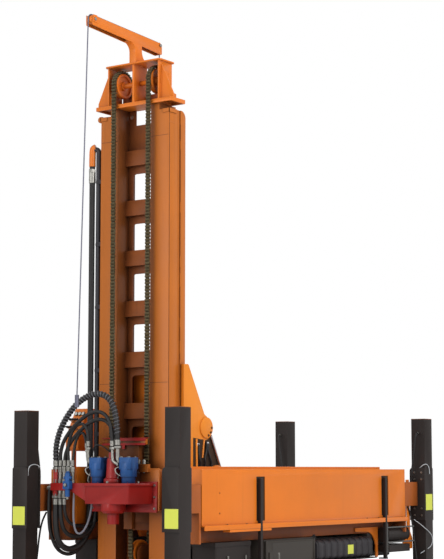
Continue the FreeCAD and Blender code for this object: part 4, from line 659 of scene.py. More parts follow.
PORT_X = 2.095
head_routes = (
    (0.025, ((PORT_X, -0.660, 1.58), (PORT_X, -0.662, 1.66), (2.098, -0.668, 1.78),
             (2.100, -0.628, 1.93), (2.100, -0.535, 2.08), (2.098, -0.400, 2.215),
             (2.094, -0.235, 2.290), (2.090, -0.080, 2.290), (2.088, 0.028, 2.200),
             (2.088, 0.070, 2.050), (2.090, 0.085, 1.90), (2.090, 0.088, 1.775)),
     ((2.090, 0.088, 1.775), (2.090, 0.089, 1.700), (2.090, 0.092, 1.660), (2.085, 0.112, 1.652))),
    (0.018, ((PORT_X, -0.604, 1.58), (PORT_X, -0.606, 1.66), (2.103, -0.604, 1.74),
             (2.108, -0.560, 1.85), (2.110, -0.470, 1.955), (2.108, -0.345, 2.055),
             (2.106, -0.210, 2.122), (2.104, -0.085, 2.118), (2.104, -0.002, 2.040),
             (2.106, 0.030, 1.92), (2.108, 0.040, 1.765)),
     ((2.108, 0.040, 1.765), (2.110, 0.042, 1.700), (2.112, 0.050, 1.645), (2.104, 0.112, 1.625))),
    (0.018, ((PORT_X, -0.554, 1.58), (PORT_X, -0.556, 1.65), (2.090, -0.548, 1.74),
             (2.084, -0.485, 1.85), (2.078, -0.375, 1.955), (2.070, -0.235, 2.040),
             (2.062, -0.110, 2.055), (2.055, -0.025, 1.99), (2.050, 0.030, 1.89),
             (2.048, 0.050, 1.785)),
     ((2.048, 0.050, 1.785), (2.048, 0.056, 1.730), (2.044, 0.075, 1.680), (2.040, 0.112, 1.665))),
    (0.016, ((PORT_X, -0.504, 1.58), (PORT_X, -0.506, 1.66), (2.102, -0.512, 1.74),
             (2.104, -0.490, 1.88), (2.100, -0.430, 1.985), (2.094, -0.345, 2.020),
             (2.090, -0.288, 1.97), (2.088, -0.272, 1.87), (2.088, -0.270, 1.765)),
     ((2.088, -0.270, 1.765), (2.088, -0.270, 1.700), (2.086, -0.266, 1.660),
      (2.082, -0.248, 1.650))),
    (0.014, ((PORT_X, -0.454, 1.58), (PORT_X, -0.455, 1.64), (2.084, -0.456, 1.72),
             (2.076, -0.440, 1.84), (2.070, -0.395, 1.925), (2.066, -0.345, 1.925),
             (2.064, -0.315, 1.85), (2.062, -0.306, 1.745)),
     ((2.062, -0.306, 1.745), (2.062, -0.304, 1.680), (2.060, -0.290, 1.640),
      (2.056, -0.248, 1.630))))
head_runs = []
elbows = []
zinc_ends = bmesh.new()
for radius, route, elbow in head_routes:
    head_runs.append(tube_mesh("hose", route, radius, sides=20))
    hose_end(zinc_ends, route[0], Vector(route[1]) - Vector(route[0]), radius)
    last = Vector(route[-1])
    hose_end(zinc_ends, last, Vector(route[-2]) - last, radius, 0.05)
    elbows.append(tube_mesh("elbow", elbow, radius * 0.72 + 0.002, sides=16))
    port, before = Vector(elbow[-1]), Vector(elbow[-2])
    way = Vector((0, before.y - port.y, 0)).normalized()
    turned(zinc_ends, port - way * 0.004, port + way * 0.014, radius * 0.9 + 0.004, sides=6)
hoses = joined("head_hoses_bent", head_runs, RUBBER, "drill_head")
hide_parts("head_hoses")
joined("hose_elbows", elbows, ZINC, "drill_head")
guard_route = head_routes[0][1]
add("hose_guard_spring", spiral(guard_route[1:-1], 0.0275, 0.034, 0.0055), GUARD, "drill_head")

supply_routes = (
    (0.029, ((PORT_X, -0.660, 1.330), (PORT_X, -0.660, 1.22), (2.098, -0.662, 1.08),
             (2.075, -0.652, 0.90), (1.985, -0.624, 0.815), (1.865, -0.580, 0.825),
             (1.762, -0.545, 0.93), (1.742, -0.539, 1.12), (1.740, -0.538, 1.45),
             (1.740, -0.538, 2.6), (1.740, -0.538, 3.7), (1.740, -0.538, 4.56))),
    (0.020, ((PORT_X, -0.604, 1.330), (PORT_X, -0.604, 1.23), (2.092, -0.602, 1.11),
             (2.050, -0.588, 0.985), (1.955, -0.556, 0.935), (1.840, -0.516, 0.945),
             (1.748, -0.484, 1.02), (1.722, -0.475, 1.14), (1.718, -0.474, 1.2995))),
    (0.016, ((PORT_X, -0.554, 1.330), (PORT_X, -0.554, 1.24), (2.088, -0.551, 1.15),
             (2.030, -0.540, 1.065), (1.920, -0.518, 1.035), (1.790, -0.494, 1.04),
             (1.690, -0.474, 1.09), (1.660, -0.469, 1.18), (1.655, -0.468, 1.2995))))
supply_runs = []
for radius, route in supply_routes:
    supply_runs.append(tube_mesh("hose", route, radius, sides=20))
    hose_end(zinc_ends, route[0], Vector(route[1]) - Vector(route[0]), radius)
supplies = joined("supply_hoses_bent", supply_runs, RUBBER, None)
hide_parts("supply_hoses")
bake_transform(supplies)

# small lines of the head: drain pipes, sensor cable and a grey lubricant line
small_lines = bmesh.new()
for side in (-1, 1):
    y = side * 0.180 - 0.078
    for route in (((2.104, y + 0.012, 1.600), (2.128, y - 0.010, 1.592), (2.132, y - 0.008, 1.560),
                   (2.124, y + 0.016, 1.530), (2.110, y + 0.030, 1.522)),
                  ((2.020, y + 0.006, 1.560), (2.030, y - 0.030, 1.548), (2.060, y - 0.032, 1.51),
                   (2.080, y - 0.020, 1.466))):
        small_lines.from_mesh(tube_mesh("drain", route, 0.0065, sides=10))
whole = bpy.data.meshes.new("drain_pipes")
small_lines.to_mesh(whole)
small_lines.free()
add("drain_pipes", whole, ZINC, "drill_head")
add("sensor_cable", tube_mesh("sensor_cable", (
    (2.060, -0.235, 1.690), (2.070, -0.232, 1.77), (2.075, -0.180, 1.815), (2.072, -0.110, 1.80),
    (2.060, -0.060, 1.765), (2.045, -0.030, 1.735)), 0.006, sides=10), RUBBER, "drill_head")
add("lubricant_line", tube_mesh("lubricant_line", (
    (2.100, -0.430, 1.372), (2.104, -0.432, 1.25), (2.108, -0.430, 1.10), (2.096, -0.410, 0.985),
    (2.066, -0.372, 0.970), (2.040, -0.330, 1.03), (2.010, -0.300, 1.15), (2.000, -0.290, 1.262)),
    0.0105, sides=12), GREY_LINE, "drill_head")

for y, z, radius in ((0.0, 1.4505, 0.013), (-0.30, 1.4505, 0.009), (0.30, 1.4505, 0.009)):
    turned(zinc_ends, (2.132 if y == 0 else 2.04, y, z), (2.132 if y == 0 else 2.04, y, z + 0.020),
           radius, sides=6)
for side in (-1, 1):
    for along_x, along_y in ((-0.045, -0.045), (0.045, -0.045), (0.045, 0.045), (-0.045, 0.045)):
        turned(zinc_ends, (2.04 + along_x, side * 0.18 + along_y, 1.688),
               (2.04 + along_x, side * 0.18 + along_y, 1.700), 0.009, sides=12)
eased("hose_ends", zinc_ends, ZINC, "drill_head", 0.0015, 1, 40)

# test valve clamped to the manifold's front face
valve = bmesh.new()
slab(valve, (2.131, -0.502, 1.392), (2.186, -0.424, 1.470))
turned(valve, (2.158, -0.463, 1.468), (2.158, -0.463, 1.545), 0.030, 0.026, 20)
turned(valve, (2.158, -0.463, 1.545), (2.158, -0.463, 1.562), 0.018, sides=12)
turned(valve, (2.158, -0.463, 1.394), (2.158, -0.463, 1.322), 0.026, 0.022, 20)
turned(valve, (2.158, -0.505, 1.500), (2.158, -0.420, 1.500), 0.016, sides=16)
eased("test_valve", valve, BLUE, "drill_head", 0.004, 2)
knob = bmesh.new()
turned(knob, (2.184, -0.463, 1.432), (2.202, -0.463, 1.432), 0.016, sides=16)
turned(knob, (2.158, -0.463, 1.324), (2.158, -0.463, 1.296), 0.012, sides=6)
eased("test_valve_cap", knob, ZINC, "drill_head", 0.002, 1)


# ---------------------------------------------------------------- drill head's bolts and crossbar
bolts = []
for z in (1.215, 1.322, 1.430):
    bolts.append(((1.8933, 0.374, z), (1, 0, 0)))
    bolts.append(((1.8933, -0.374, z), (1, 0, 0)))
on_points("mount_bolts", bolts, BOLT, ZINC, "drill_head")
case_bolts = []
for x, y in ((2.125, 0.235), (2.125, 0.12), (2.125, -0.12), (2.125, -0.235), (2.00, 0.315),
             (2.00, -0.315), (1.91, 0.315), (1.91, -0.315), (1.91, 0.10), (1.91, -0.10)):
    case_bolts.append(((x, y, 1.450), (0, 0, 1)))
case_bolts += ring((2.040, 0, 1.4885), 0.082, 8, (0, 0, 1), math.pi / 8)
on_points("case_bolts", case_bolts, SMALL_BOLT, RED_BOLTS, "drill_head")
bar = bmesh.new()
slab(bar, (1.8855, -0.262, 1.806), (1.8995, 0.262, 1.826))
slab(bar, (1.8855, -0.150, 1.846), (1.8965, 0.262, 1.876))
slab(bar, (1.8440, -0.262, 1.8685), (1.8980, 0.262, 1.8765))
slab(bar, (1.8855, -0.016, 1.770), (1.8975, 0.016, 1.812))
eased("crossbar_wear_plates", bar, RED, "drill_head", 0.002, 1)
studs = bmesh.new()
for side in (-1, 1):
    for y in (CHAIN_Y - 0.030, CHAIN_Y + 0.030):
        turned(studs, (1.887, side * y, 1.545), (1.887, side * y, 1.672), 0.011, sides=16)
        turned(studs, (1.887, side * y, 1.630), (1.887, side * y, 1.648), 0.019, sides=6)
        turned(studs, (1.887, side * y, 1.650), (1.887, side * y, 1.664), 0.019, sides=6)
eased("chain_anchor_studs", studs, ZINC, "drill_head", 0.001, 1)


# ---------------------------------------------------------------- mast fittings
def drawn(name, parts, finish, body, width=0.002, segments=1):
    """A piece made of boxes and round bars: ("box", low, high) or ("bar", from, to, radius)."""
    shape = bmesh.new()
    for kind, *rest in parts:
        if kind == "box":
            slab(shape, *rest)
        else:
            turned(shape, *rest)
    return eased(name, shape, finish, body, width, segments)


# The strips along the columns' front corners are painted shade; the level strips are seams.
drawn("column_seams", [("box", (1.7395, y, 0.215), (1.7460, y + side * 0.0022, 5.030))
                       for side, y in ((1, 0.4192), (-1, -0.4192))]
      + [("box", (1.7490, side * 0.206, z), (1.7508, side * 0.414, z + 0.0035))
         for z in (4.778, 2.398) for side in (-1, 1)], SEAM_AND_SHADE, "mast", 0.0004)
stitches = []
for side in (-1, 1):
    for z, long in ((0.55, 0.12), (0.95, 0.10), (2.62, 0.06), (2.80, 0.13), (3.02, 0.30),
                    (3.45, 0.06), (3.62, 0.42), (4.14, 0.52), (4.74, 0.16)):
        stitches.append(("box", (1.5635, side * 0.4194, z), (1.5670, side * 0.4216, z + long)))
drawn("groove_stitch_welds", stitches, SEAM_AND_SHADE, "mast", 0.0006)
drawn("column_cap_bars", [("box", (1.640, side * 0.4195, 4.998), (1.7560, side * 0.4300, 5.037))
                          for side in (-1, 1)]
      + [("box", (1.7495, side * 0.345, 4.998), (1.7560, side * 0.4300, 5.037))
         for side in (-1, 1)]
      + [("box", (1.6600, 0.4195, 4.898), (1.7440, 0.4232, 4.910))], SHADED_MAST_ORANGE, "mast", 0.002)
drawn("rope_guide_boss", [("bar", (1.700, -0.4400, 5.020), (1.744, -0.4400, 5.020), 0.031),
                          ("box", (1.704, -0.4400, 4.990), (1.740, -0.4195, 5.050))],
      SHADED_MAST_ORANGE, "mast", 0.004, 2)

head_bolts = []
for x in (1.585, 1.755):
    for y in (0.345, 0.430):
        head_bolts += [((x, y, 5.1402), (0, 0, 1)), ((x, -y, 5.1402), (0, 0, 1))]
for side in (-1, 1):
    head_bolts += ring((WHEEL_AT[0], side * 0.3170, WHEEL_AT[1]), 0.066, 6, (0, side, 0))
on_points("head_bolts", head_bolts, BOLT, ORANGE, "mast")
for name, near, far, radius, finish, edge in (
        ("axle_caps", 0.3165, 0.3260, 0.088, ORANGE, (0.003, 2)),
        ("axle_grease_points", 0.3250, 0.3400, 0.008, ZINC, (0.001, 1))):
    drawn(name, [("bar", (WHEEL_AT[0], side * near, WHEEL_AT[1]),
                  (WHEEL_AT[0], side * far, WHEEL_AT[1]), radius) for side in (-1, 1)],
          finish, "mast", *edge)
head_welds = []
for side in (-1, 1):
    head_welds.append(tube_mesh("weld", ((1.737, side * 0.3185, 5.141), (1.737, side * 0.38, 5.141),
                                         (1.737, side * 0.449, 5.141)), 0.004, 8, True))
    head_welds.append(tube_mesh("weld", ((1.572, side * 0.3178, 5.141), (1.70, side * 0.3178, 5.141),
                                         (1.778, side * 0.3178, 5.141)), 0.004, 8, True))
joined("head_welds", head_welds, ORANGE, "mast")

drawn("head_back_plate", [("box", (1.5565, -0.3005, 5.1395), (1.5625, 0.3005, 5.2480))], DARK_ORANGE,
      "mast", 0.002)

# jib: pins at both ends and the keepers beside its tip
drawn("jib_pins", [("bar", (x, side * 0.043, z), (x, side * 0.051, z), 0.016)
                   for side in (-1, 1) for x, z in ((1.398, 5.775), (2.416, 5.822))],
      ZINC, "mast", 0.002)
drawn("jib_keepers", [("box", (2.385, side * 0.0402, 5.792), (2.447, side * 0.0450, 5.862))
                      for side in (-1, 1)], ORANGE, "mast", 0.002)

# rope: wraps on the winch drum
wraps = []
for turn in range(0, 12 * 22 + 1):
    angle = 2 * math.pi * turn / 22
    wraps.append((1.400 + 0.0815 * math.cos(angle), -0.072 + 0.0122 * turn / 22,
                  0.720 - 0.0815 * math.sin(angle)))
add("rope_on_drum", tube_mesh("rope_on_drum", wraps, 0.006, sides=8, straight=True), ROPE, "mast")

# the three lines clipped to the mast's right side, from the outermost in
BIG_LINE = (1.740, -0.538)
MIDDLE_LINE = (1.718, -0.474)
SLIM_LINE = (1.655, -0.468)
CLIPS = 5
CLIP_LOW = 1.9
CLIP_STEP = 0.62

# orange elbow and crimped ends of the lines
add("hose_bend", tube_mesh("hose_bend", ((1.7290, -0.5060, 4.7525), (1.7370, -0.5290, 4.745),
                                         (1.7395, -0.5360, 4.720), (1.7400, -0.5380, 4.670),
                                         (1.7400, -0.5380, 4.560)), 0.0335, sides=20),
    ORANGE, "mast")
top_ends = bmesh.new()
for line, low, high, radius, sides in (
        (BIG_LINE, 4.395, 4.500, 0.0335, 24), (BIG_LINE, 4.500, 4.535, 0.037, 6),
        (BIG_LINE, 4.420, 4.440, 0.0350, 24), (SLIM_LINE, 4.300, 4.395, 0.0245, 20),
        (SLIM_LINE, 4.395, 4.430, 0.028, 6), (MIDDLE_LINE, 1.302, 1.390, 0.0300, 20),
        (MIDDLE_LINE, 1.390, 1.420, 0.034, 6), (SLIM_LINE, 1.302, 1.380, 0.0245, 20),
        (SLIM_LINE, 1.380, 1.408, 0.028, 6)):
    turned(top_ends, (*line, low), (*line, high), radius, sides=sides)
eased("pipe_ends", top_ends, ZINC, "mast", 0.0015, 1)
bands = bmesh.new()
for low in (3.575, 2.600, 2.060):
    for step in range(6):
        z = low + 0.038 * step
        turned(bands, (*SLIM_LINE, z), (*SLIM_LINE, z + 0.012), 0.0222, sides=20)
for i in range(CLIPS):
    z = CLIP_LOW + CLIP_STEP * i
    for line, radius in ((MIDDLE_LINE, 0.0285), (SLIM_LINE, 0.0225)):
        turned(bands, (*line, z + 0.008), (*line, z + 0.032), radius, sides=20)
eased("pipe_bands", bands, PLASTIC, "mast", 0.001, 1)
on_points("clip_bolts", [((1.6865, -0.4735, CLIP_LOW + 0.02 + CLIP_STEP * i), (0, -1, 0))
                         for i in range(CLIPS)],
          SMALL_BOLT, ZINC, "mast")

# foot: bolts of the rod clamp and the oil ports of its jaws
clamp_bolts = []
for z in (0.26, 0.44):
    for y in (-0.27, -0.23, 0.23, 0.27):
        clamp_bolts.append(((1.7755, y, z), (1, 0, 0)))
on_points("clamp_bolts", clamp_bolts, BOLT, ZINC, "mast")
drawn("jaw_hoses_ports", [("bar", (2.04, side * 0.300, 0.376), (2.04, side * 0.300, 0.398), 0.014)
                          for side in (-1, 1)], ZINC, "mast", 0.001)


# ---------------------------------------------------------------- legs, labels and cables
# each pair of legs: its place along the machine and the way its outer face looks
LEGS = ((2.250, 1), (-2.300, -1))
label_plates = []
for y in (0.910, -0.910):
    label_plates.append(("box", (2.3472, y - 0.072, 1.053), (2.3492, y + 0.080, 1.228)))
for side in (-1, 1):
    label_plates.append(("box", (-2.375, side * 0.9932, 1.130), (-2.228, side * 0.9952, 1.306)))
drawn("leg_labels", label_plates, YELLOW, "chassis", 0.0008)
drawn("tank_label", [("box", (-0.868, 0.8695, 0.706), (-0.756, 0.8717, 0.800))], YELLOW, "chassis",
      0.0008)
rivets = []
for y in (0.910, -0.910):
    rivets += [((2.3490, y + a, z), (1, 0, 0)) for a in (-0.064, 0.072) for z in (1.061, 1.220)]
rivet = bmesh.new()
turned(rivet, (0, 0, -0.0005), (0, 0, 0.0016), 0.0035, 0.0022, 10)
RIVET = item_object("rivet", rivet)
on_points("label_rivets", rivets, RIVET, ZINC, "chassis")
drop(RIVET)

leg_bolts = []
for x, face in LEGS:
    for side in (-1, 1):
        for z in (1.075, 1.150, 1.470, 1.545):
            leg_bolts.append(((x - face * 0.0985, side * 0.866, z), (-face, 0, 0)))
            leg_bolts.append(((x - face * 0.0985, side * 0.954, z), (-face, 0, 0)))
# routes of a leg's hoses: how far inwards from the leg's middle, how far out, and the height
LEG_TOP_HOSE = ((0.110, 0.920, 1.980), (0.140, 0.918, 1.970), (0.142, 0.905, 1.900),
                (0.138, 0.890, 1.780), (0.140, 0.875, 1.680), (0.142, 0.862, 1.580),
                (0.138, 0.852, 1.500), (0.130, 0.848, 1.4395))
LEG_FOOT_HOSE = ((0.110, 0.952, 0.420), (0.150, 0.950, 0.425), (0.165, 0.930, 0.520),
                 (0.168, 0.900, 0.760), (0.172, 0.880, 0.960), (0.200, 0.868, 1.100),
                 (0.250, 0.862, 1.168))
leg_hoses = []
leg_ends = bmesh.new()
for x, face in LEGS:
    for side in (-1, 1):
        for step, z in ((0.020, 1.980), (0.052, 0.420)):
            inner = x - face * 0.0835
            turned(leg_ends, (inner, side * (0.900 + step), z),
                   (inner - face * 0.030, side * (0.900 + step), z), 0.012, sides=6)
        for route, radius in ((LEG_TOP_HOSE, 0.010), (LEG_FOOT_HOSE, 0.009)):
            leg_hoses.append(tube_mesh("leg_hose", [(x - face * inwards, side * out, z)
                                                    for inwards, out, z in route], radius, 10))
joined("leg_hoses", leg_hoses, RUBBER, "chassis")
eased("leg_hose_ends", leg_ends, ZINC, "chassis", 0.001, 1)
joined("rear_leg_cable", [
    tube_mesh("cable", ((-2.215, 0.905, 1.560), (-2.200, 0.945, 1.610), (-2.215, 1.000, 1.640),
                        (-2.260, 1.004, 1.630), (-2.300, 1.002, 1.590), (-2.310, 1.000, 1.530)),
              0.0045, 8),
    tube_mesh("cable", ((-2.120, 0.900, 1.030), (-2.150, 0.955, 0.985), (-2.200, 1.000, 0.930),
                        (-2.290, 1.012, 0.880), (-2.350, 1.010, 0.820), (-2.330, 1.004, 0.740),
                        (-2.240, 0.990, 0.700), (-2.170, 0.950, 0.660)), 0.0045, 8)],
       PALE_CABLE, "chassis")
caps = []
for x, face in LEGS:
    for side in (-1, 1):
        caps.append(("box", (x - 0.0838, side * 0.9938, 2.1330), (x + 0.0838, side * 0.8262, 2.1408)))
drawn("leg_cap_rims", caps, DARK_ORANGE, "chassis", 0.003, 2)
on_points("leg_bracket_bolts", leg_bolts, BOLT, ZINC, "chassis")


# ---------------------------------------------------------------- trays, cabinet and tanks
SLOT_FRONTS = (0.990, -1.395)
STAKE_XS = (0.955, -1.430)
tray_bolts = [((1.600, 0.9102, z), (0, 1, 0)) for z in (1.174, 1.361)]
on_points("tray_bolts", sided(tray_bolts), SMALL_BOLT, ORANGE_BOLTS, "chassis")
lip_bolts = [((x, 0.928, 1.0665), (0, 0, 1)) for x in (1.500, 1.180, -1.060, -1.300)]
on_points("tray_lip_bolts", sided(lip_bolts), SMALL_BOLT, DARK_BOLTS, "chassis")
drawn("tray_step_plates", [("box", (0.780, side * 0.860, 0.996), (1.480, side * 0.944, 1.0195))
                           for side in (-1, 1)], ORANGE, "chassis", 0.002)
drawn("tray_skids", [("box", (x, side * 0.600, 1.0603), (x + 0.05, side * 0.895, 1.0720))
                     for side in (-1, 1) for x in (1.30, 0.55, -0.25, -1.05, -1.65)],
      DARK_ORANGE, "chassis", 0.002)

# stakes through the tray slots, with a dark sheet behind each that paints the shade inside the slot
stakes = bmesh.new()
slot_shades = bmesh.new()
for side in (-1, 1):
    for x in STAKE_XS:
        slab(stakes, (x - 0.018, side * 0.9115, 0.640), (x + 0.018, side * 0.9480, 1.4950))
        slab(stakes, (x - 0.030, side * 0.8600, 0.6300), (x + 0.030, side * 0.9500, 0.6440))
    for front in SLOT_FRONTS:
        slab(slot_shades, (front - 0.150, side * 0.8880, 1.0650), (front + 0.005, side * 0.9030, 1.5300))
stake_piece = eased("tray_stakes", stakes, BLACK, "chassis", 0.004, 2)
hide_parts("tray_posts")
eased("stake_guides", slot_shades, SHADE_SHEET_BROWN, "chassis", 0.002, 1)

drawn("cabinet_lock", [("box", (0.545, 0.8798, 0.700), (0.578, 0.8830, 0.772)),
                       ("bar", (0.5615, 0.8820, 0.752), (0.5615, 0.8880, 0.752), 0.010),
                       ("box", (0.556, 0.8825, 0.706), (0.567, 0.8900, 0.748))],
      ZINC, "cabinet_door", 0.001)
drawn("cabinet_door_panel", [("box", (-0.045, 0.8798, 0.690), (0.668, 0.8818, 0.868))], GREY,
      "cabinet_door", 0.001)

drawn("tank_cap", [("bar", (-0.300, 0.705, 0.866), (-0.300, 0.705, 0.905), 0.052),
                   ("bar", (-0.300, 0.705, 0.905), (-0.300, 0.705, 0.918), 0.044)],
      BLACK_RUBBER, "chassis", 0.003, 2)

bracket = bmesh.new()
outline = [(-1.100, 0.962), (-1.575, 0.962), (-1.575, 0.640), (-1.528, 0.640)]
for step in range(9):
    turn = math.radians(90 * step / 8)
    outline.append((-1.340 - 0.188 * math.cos(turn), 0.735 + 0.180 * math.sin(turn)))
outline.append((-1.100, 0.920))
for side in (-1, 1):
    cut_plate(bracket, outline, side * 0.742, side * 0.756)
bmesh.ops.recalc_face_normals(bracket, faces=bracket.faces)
eased("tank_brackets", bracket, ORANGE, "chassis", 0.002, 1)


# ---------------------------------------------------------------- tracks and running gear
SHOES = 48
SHOE_RADIUS = 0.284
LOOP_STRAIGHT = 2.280
LOOP_MIDDLE = (-0.100, 0.310)


def shoe_places(y, share, inwards=0.0):
    """Point and outward way at a share of each shoe round the track."""
    turn_long = math.pi * SHOE_RADIUS
    around = 2 * (LOOP_STRAIGHT + turn_long)
    radius = SHOE_RADIUS - inwards
    x, z = LOOP_MIDDLE
    places = []
    for i in range(SHOES):
        gone = (i + share) * around / SHOES
        if gone < LOOP_STRAIGHT:
            at, turn = x - LOOP_STRAIGHT / 2 + gone, math.pi / 2
        elif gone < LOOP_STRAIGHT + turn_long:
            at = x + LOOP_STRAIGHT / 2
            turn = math.pi / 2 - (gone - LOOP_STRAIGHT) / SHOE_RADIUS
        elif gone < 2 * LOOP_STRAIGHT + turn_long:
            at, turn = x + 1.5 * LOOP_STRAIGHT + turn_long - gone, -math.pi / 2
        else:
            at = x - LOOP_STRAIGHT / 2
            turn = -math.pi / 2 - (gone - 2 * LOOP_STRAIGHT - turn_long) / SHOE_RADIUS
        way = (math.cos(turn), 0, math.sin(turn))
        places.append(((at + radius * way[0], y, z + radius * way[2]), way))
    return places


link = bmesh.new()
slab(link, (-0.060, -0.015, -0.028), (0.062, 0.015, 0.004))
turned(link, (0.052, -0.017, -0.010), (0.052, 0.017, -0.010), 0.019, sides=12)
TRACK_LINK = item_object("track_link", link)
shoe = bmesh.new()
for x in (-0.024, 0.024):
    for y in (-0.115, -0.085, 0.085, 0.115):
        turned(shoe, (x, y, -0.001), (x, y, 0.011), 0.0115, 0.0105, 6)
SHOE_BOLTS = item_object("shoe_bolts", shoe)
for side, name in ((1, "left"), (-1, "right")):
    inner_places = shoe_places(side * 0.635, 0.3, 0.022) + shoe_places(side * 0.865, 0.3, 0.022)
    on_points("track_links_" + name, inner_places, TRACK_LINK, CHAIN, "chassis")
    on_points("shoe_bolts_" + name, shoe_places(side * 0.750, 0.31), SHOE_BOLTS, TRACK, "chassis")
drop(TRACK_LINK)
drop(SHOE_BOLTS)

track_x, axle_z = LOOP_MIDDLE
axle_xs = (track_x - LOOP_STRAIGHT / 2, track_x + LOOP_STRAIGHT / 2)
hub_bolts = [bolt for x in axle_xs for bolt in ring((x, 0.8702, axle_z), 0.095, 8, (0, 1, 0))]
on_points("hub_bolts", sided(hub_bolts), BOLT, BLACK_BOLTS, "chassis")
drawn("idler_caps", [("bar", (x, side * 0.8698, axle_z), (x, side * 0.8850, axle_z), 0.060)
                     for x in axle_xs for side in (-1, 1)], UNDERCARRIAGE, "chassis", 0.004, 2)
ROLLERS = 6
roller_xs = [track_x + LOOP_STRAIGHT * ((i + 0.5) / ROLLERS - 0.5) for i in range(ROLLERS)]
drawn("roller_caps", [("bar", (x, side * 0.8448, 0.1385), (x, side * 0.8560, 0.1385), 0.034)
                      for x in roller_xs for side in (-1, 1)], UNDERCARRIAGE, "chassis", 0.003, 2)


# ---------------------------------------------------------------- engine deck
drawn("radiator_frame", [("box", (-1.4640, y - 0.015, 0.925), (-1.4595, y + 0.015, 1.470))
                         for y in (-0.290, 0.0, 0.290)]
      + [("box", (-1.466, -0.335, 1.462), (-1.334, 0.335, 1.4835))], GREY, "chassis", 0.002)
fins = bmesh.new()
for i in range(60):
    y = -0.295 + 0.010 * i
    slab(fins, (-1.4420, y, 0.945), (-1.4405, y + 0.0016, 1.455))
fin_mesh = bpy.data.meshes.new("cooler_fins")
fins.to_mesh(fin_mesh)
fins.free()
add("cooler_fins", fin_mesh, SILVER_PAINT, "chassis")
drawn("radiator_cap", [("bar", (-1.400, 0.180, 1.480), (-1.400, 0.180, 1.500), 0.030),
                       ("bar", (-1.400, 0.180, 1.500), (-1.400, 0.180, 1.512), 0.036)], ZINC,
      "chassis", 0.003, 2)
drawn("hydraulic_tank_fittings", [
    ("bar", (-1.930, 0.280, 1.494), (-1.930, 0.280, 1.520), 0.056),
    ("bar", (-1.930, -0.200, 1.449), (-1.930, -0.200, 1.490), 0.070),
    ("bar", (-1.700, -0.200, 1.449), (-1.700, -0.200, 1.470), 0.090),
    ("bar", (-1.930, 0.280, 1.519), (-1.930, 0.280, 1.532), 0.022)], BLACK, "chassis", 0.004, 2)
drawn("tank_lid_ring", [("bar", (-1.700, -0.200, 1.470), (-1.700, -0.200, 1.476), 0.075)], ZINC,
      "chassis", 0.002)
on_points("tank_lid_bolts", ring((-1.700, -0.200, 1.4702), 0.079, 8, (0, 0, 1)), SMALL_BOLT, ZINC,
          "chassis")
drawn("sight_gauge", [("box", (-1.720, 0.3995, 1.120), (-1.680, 0.4090, 1.320)),
                      ("bar", (-1.700, 0.409, 1.140), (-1.700, 0.4200, 1.140), 0.012),
                      ("bar", (-1.700, 0.409, 1.300), (-1.700, 0.4200, 1.300), 0.012)], ZINC,
      "chassis", 0.002)
drawn("sight_glass", [("box", (-1.708, 0.4085, 1.152), (-1.692, 0.4125, 1.288))], DIAL, "chassis",
      0.001)

# engine: covers, ribs, pumps and injector lines on the plain block
CYLINDER_XS = [-1.110 + 0.130 * i for i in range(6)]
engine = [("box", (-1.180, -0.170, 1.4195), (-0.420, 0.050, 1.4600)),
          ("box", (-1.230, 0.2795, 1.020), (-0.320, 0.3050, 1.080)),
          ("box", (-1.230, -0.3050, 1.020), (-0.320, -0.2795, 1.080)),
          ("box", (-0.3005, -0.200, 0.950), (-0.2400, 0.200, 1.380)),
          ("bar", (-0.240, 0.060, 1.150), (-0.110, 0.060, 1.150), 0.085),
          ("bar", (-0.240, -0.100, 1.120), (-0.080, -0.100, 1.120), 0.065)]
for x in CYLINDER_XS:
    engine.append(("box", (x - 0.045, 0.2795, 1.290), (x + 0.045, 0.3150, 1.380)))
    engine.append(("box", (x - 0.045, -0.3150, 1.250), (x + 0.045, -0.2795, 1.400)))
drawn("engine_castings", engine, CAST, "chassis", 0.008, 2)
drawn("engine_filters", [("bar", (x, -0.345, 1.090), (x, -0.345, 1.260), 0.045)
                         for x in (-0.50, -0.63)]
      + [("bar", (-0.90, 0.345, 1.060), (-0.90, 0.345, 1.210), 0.050)], BLACK, "chassis", 0.006, 2)
drawn("filter_heads", [("box", (-0.690, -0.395, 1.258), (-0.440, -0.2795, 1.290)),
                       ("box", (-0.950, 0.2795, 1.208), (-0.850, 0.395, 1.236))], ZINC, "chassis",
      0.003, 2)
lines = []
for x in CYLINDER_XS:
    lines.append(tube_mesh("line", ((x, -0.120, 1.455), (x, -0.130, 1.500), (x + 0.010, -0.225, 1.505),
                                    (x + 0.02, -0.300, 1.470), (x + 0.03, -0.306, 1.395)), 0.0045, 8))
joined("injector_lines", lines, ZINC, "chassis")
deck_runs = []
for y, z, out in ((0.150, 1.180, -0.110), (0.060, 1.100, -0.100), (-0.020, 1.180, -0.090)):
    deck_runs.append(tube_mesh("line", ((out, y, z), (out + 0.140, y, z), (out + 0.300, y + 0.02, z - 0.04),
                                        (0.350, y + 0.05, 1.02), (0.560, y + 0.06, 0.945),
                                        (0.800, y + 0.06, 0.940)), 0.020, 14))
for y in (-0.150, -0.080):
    deck_runs.append(tube_mesh("line", ((-1.578, y, 1.10), (-1.530, y, 1.10), (-1.505, y, 1.06),
                                        (-1.500, y, 0.98), (-1.485, y, 0.945)), 0.022, 14))
joined("deck_hoses", deck_runs, RUBBER, "chassis")
drawn("valve_bank", [("box", (0.800, 0.060, 0.9125), (0.960, 0.360, 1.060))]
      + [("box", (0.815, 0.075 + 0.045 * i, 1.0595), (0.945, 0.100 + 0.045 * i, 1.110))
         for i in range(6)], CAST, "chassis", 0.004, 2)
drawn("valve_levers", [("bar", (0.880, 0.0875 + 0.045 * i, 1.108), (0.900, 0.0875 + 0.045 * i, 1.205),
                        0.005) for i in range(6)], ZINC, "chassis", 0.001)
drawn("battery_box", [("box", (0.180, -0.430, 0.9125), (0.560, -0.160, 1.130)),
                      ("box", (0.172, -0.438, 1.118), (0.568, -0.152, 1.142))], BLACK, "chassis",
      0.004, 2)

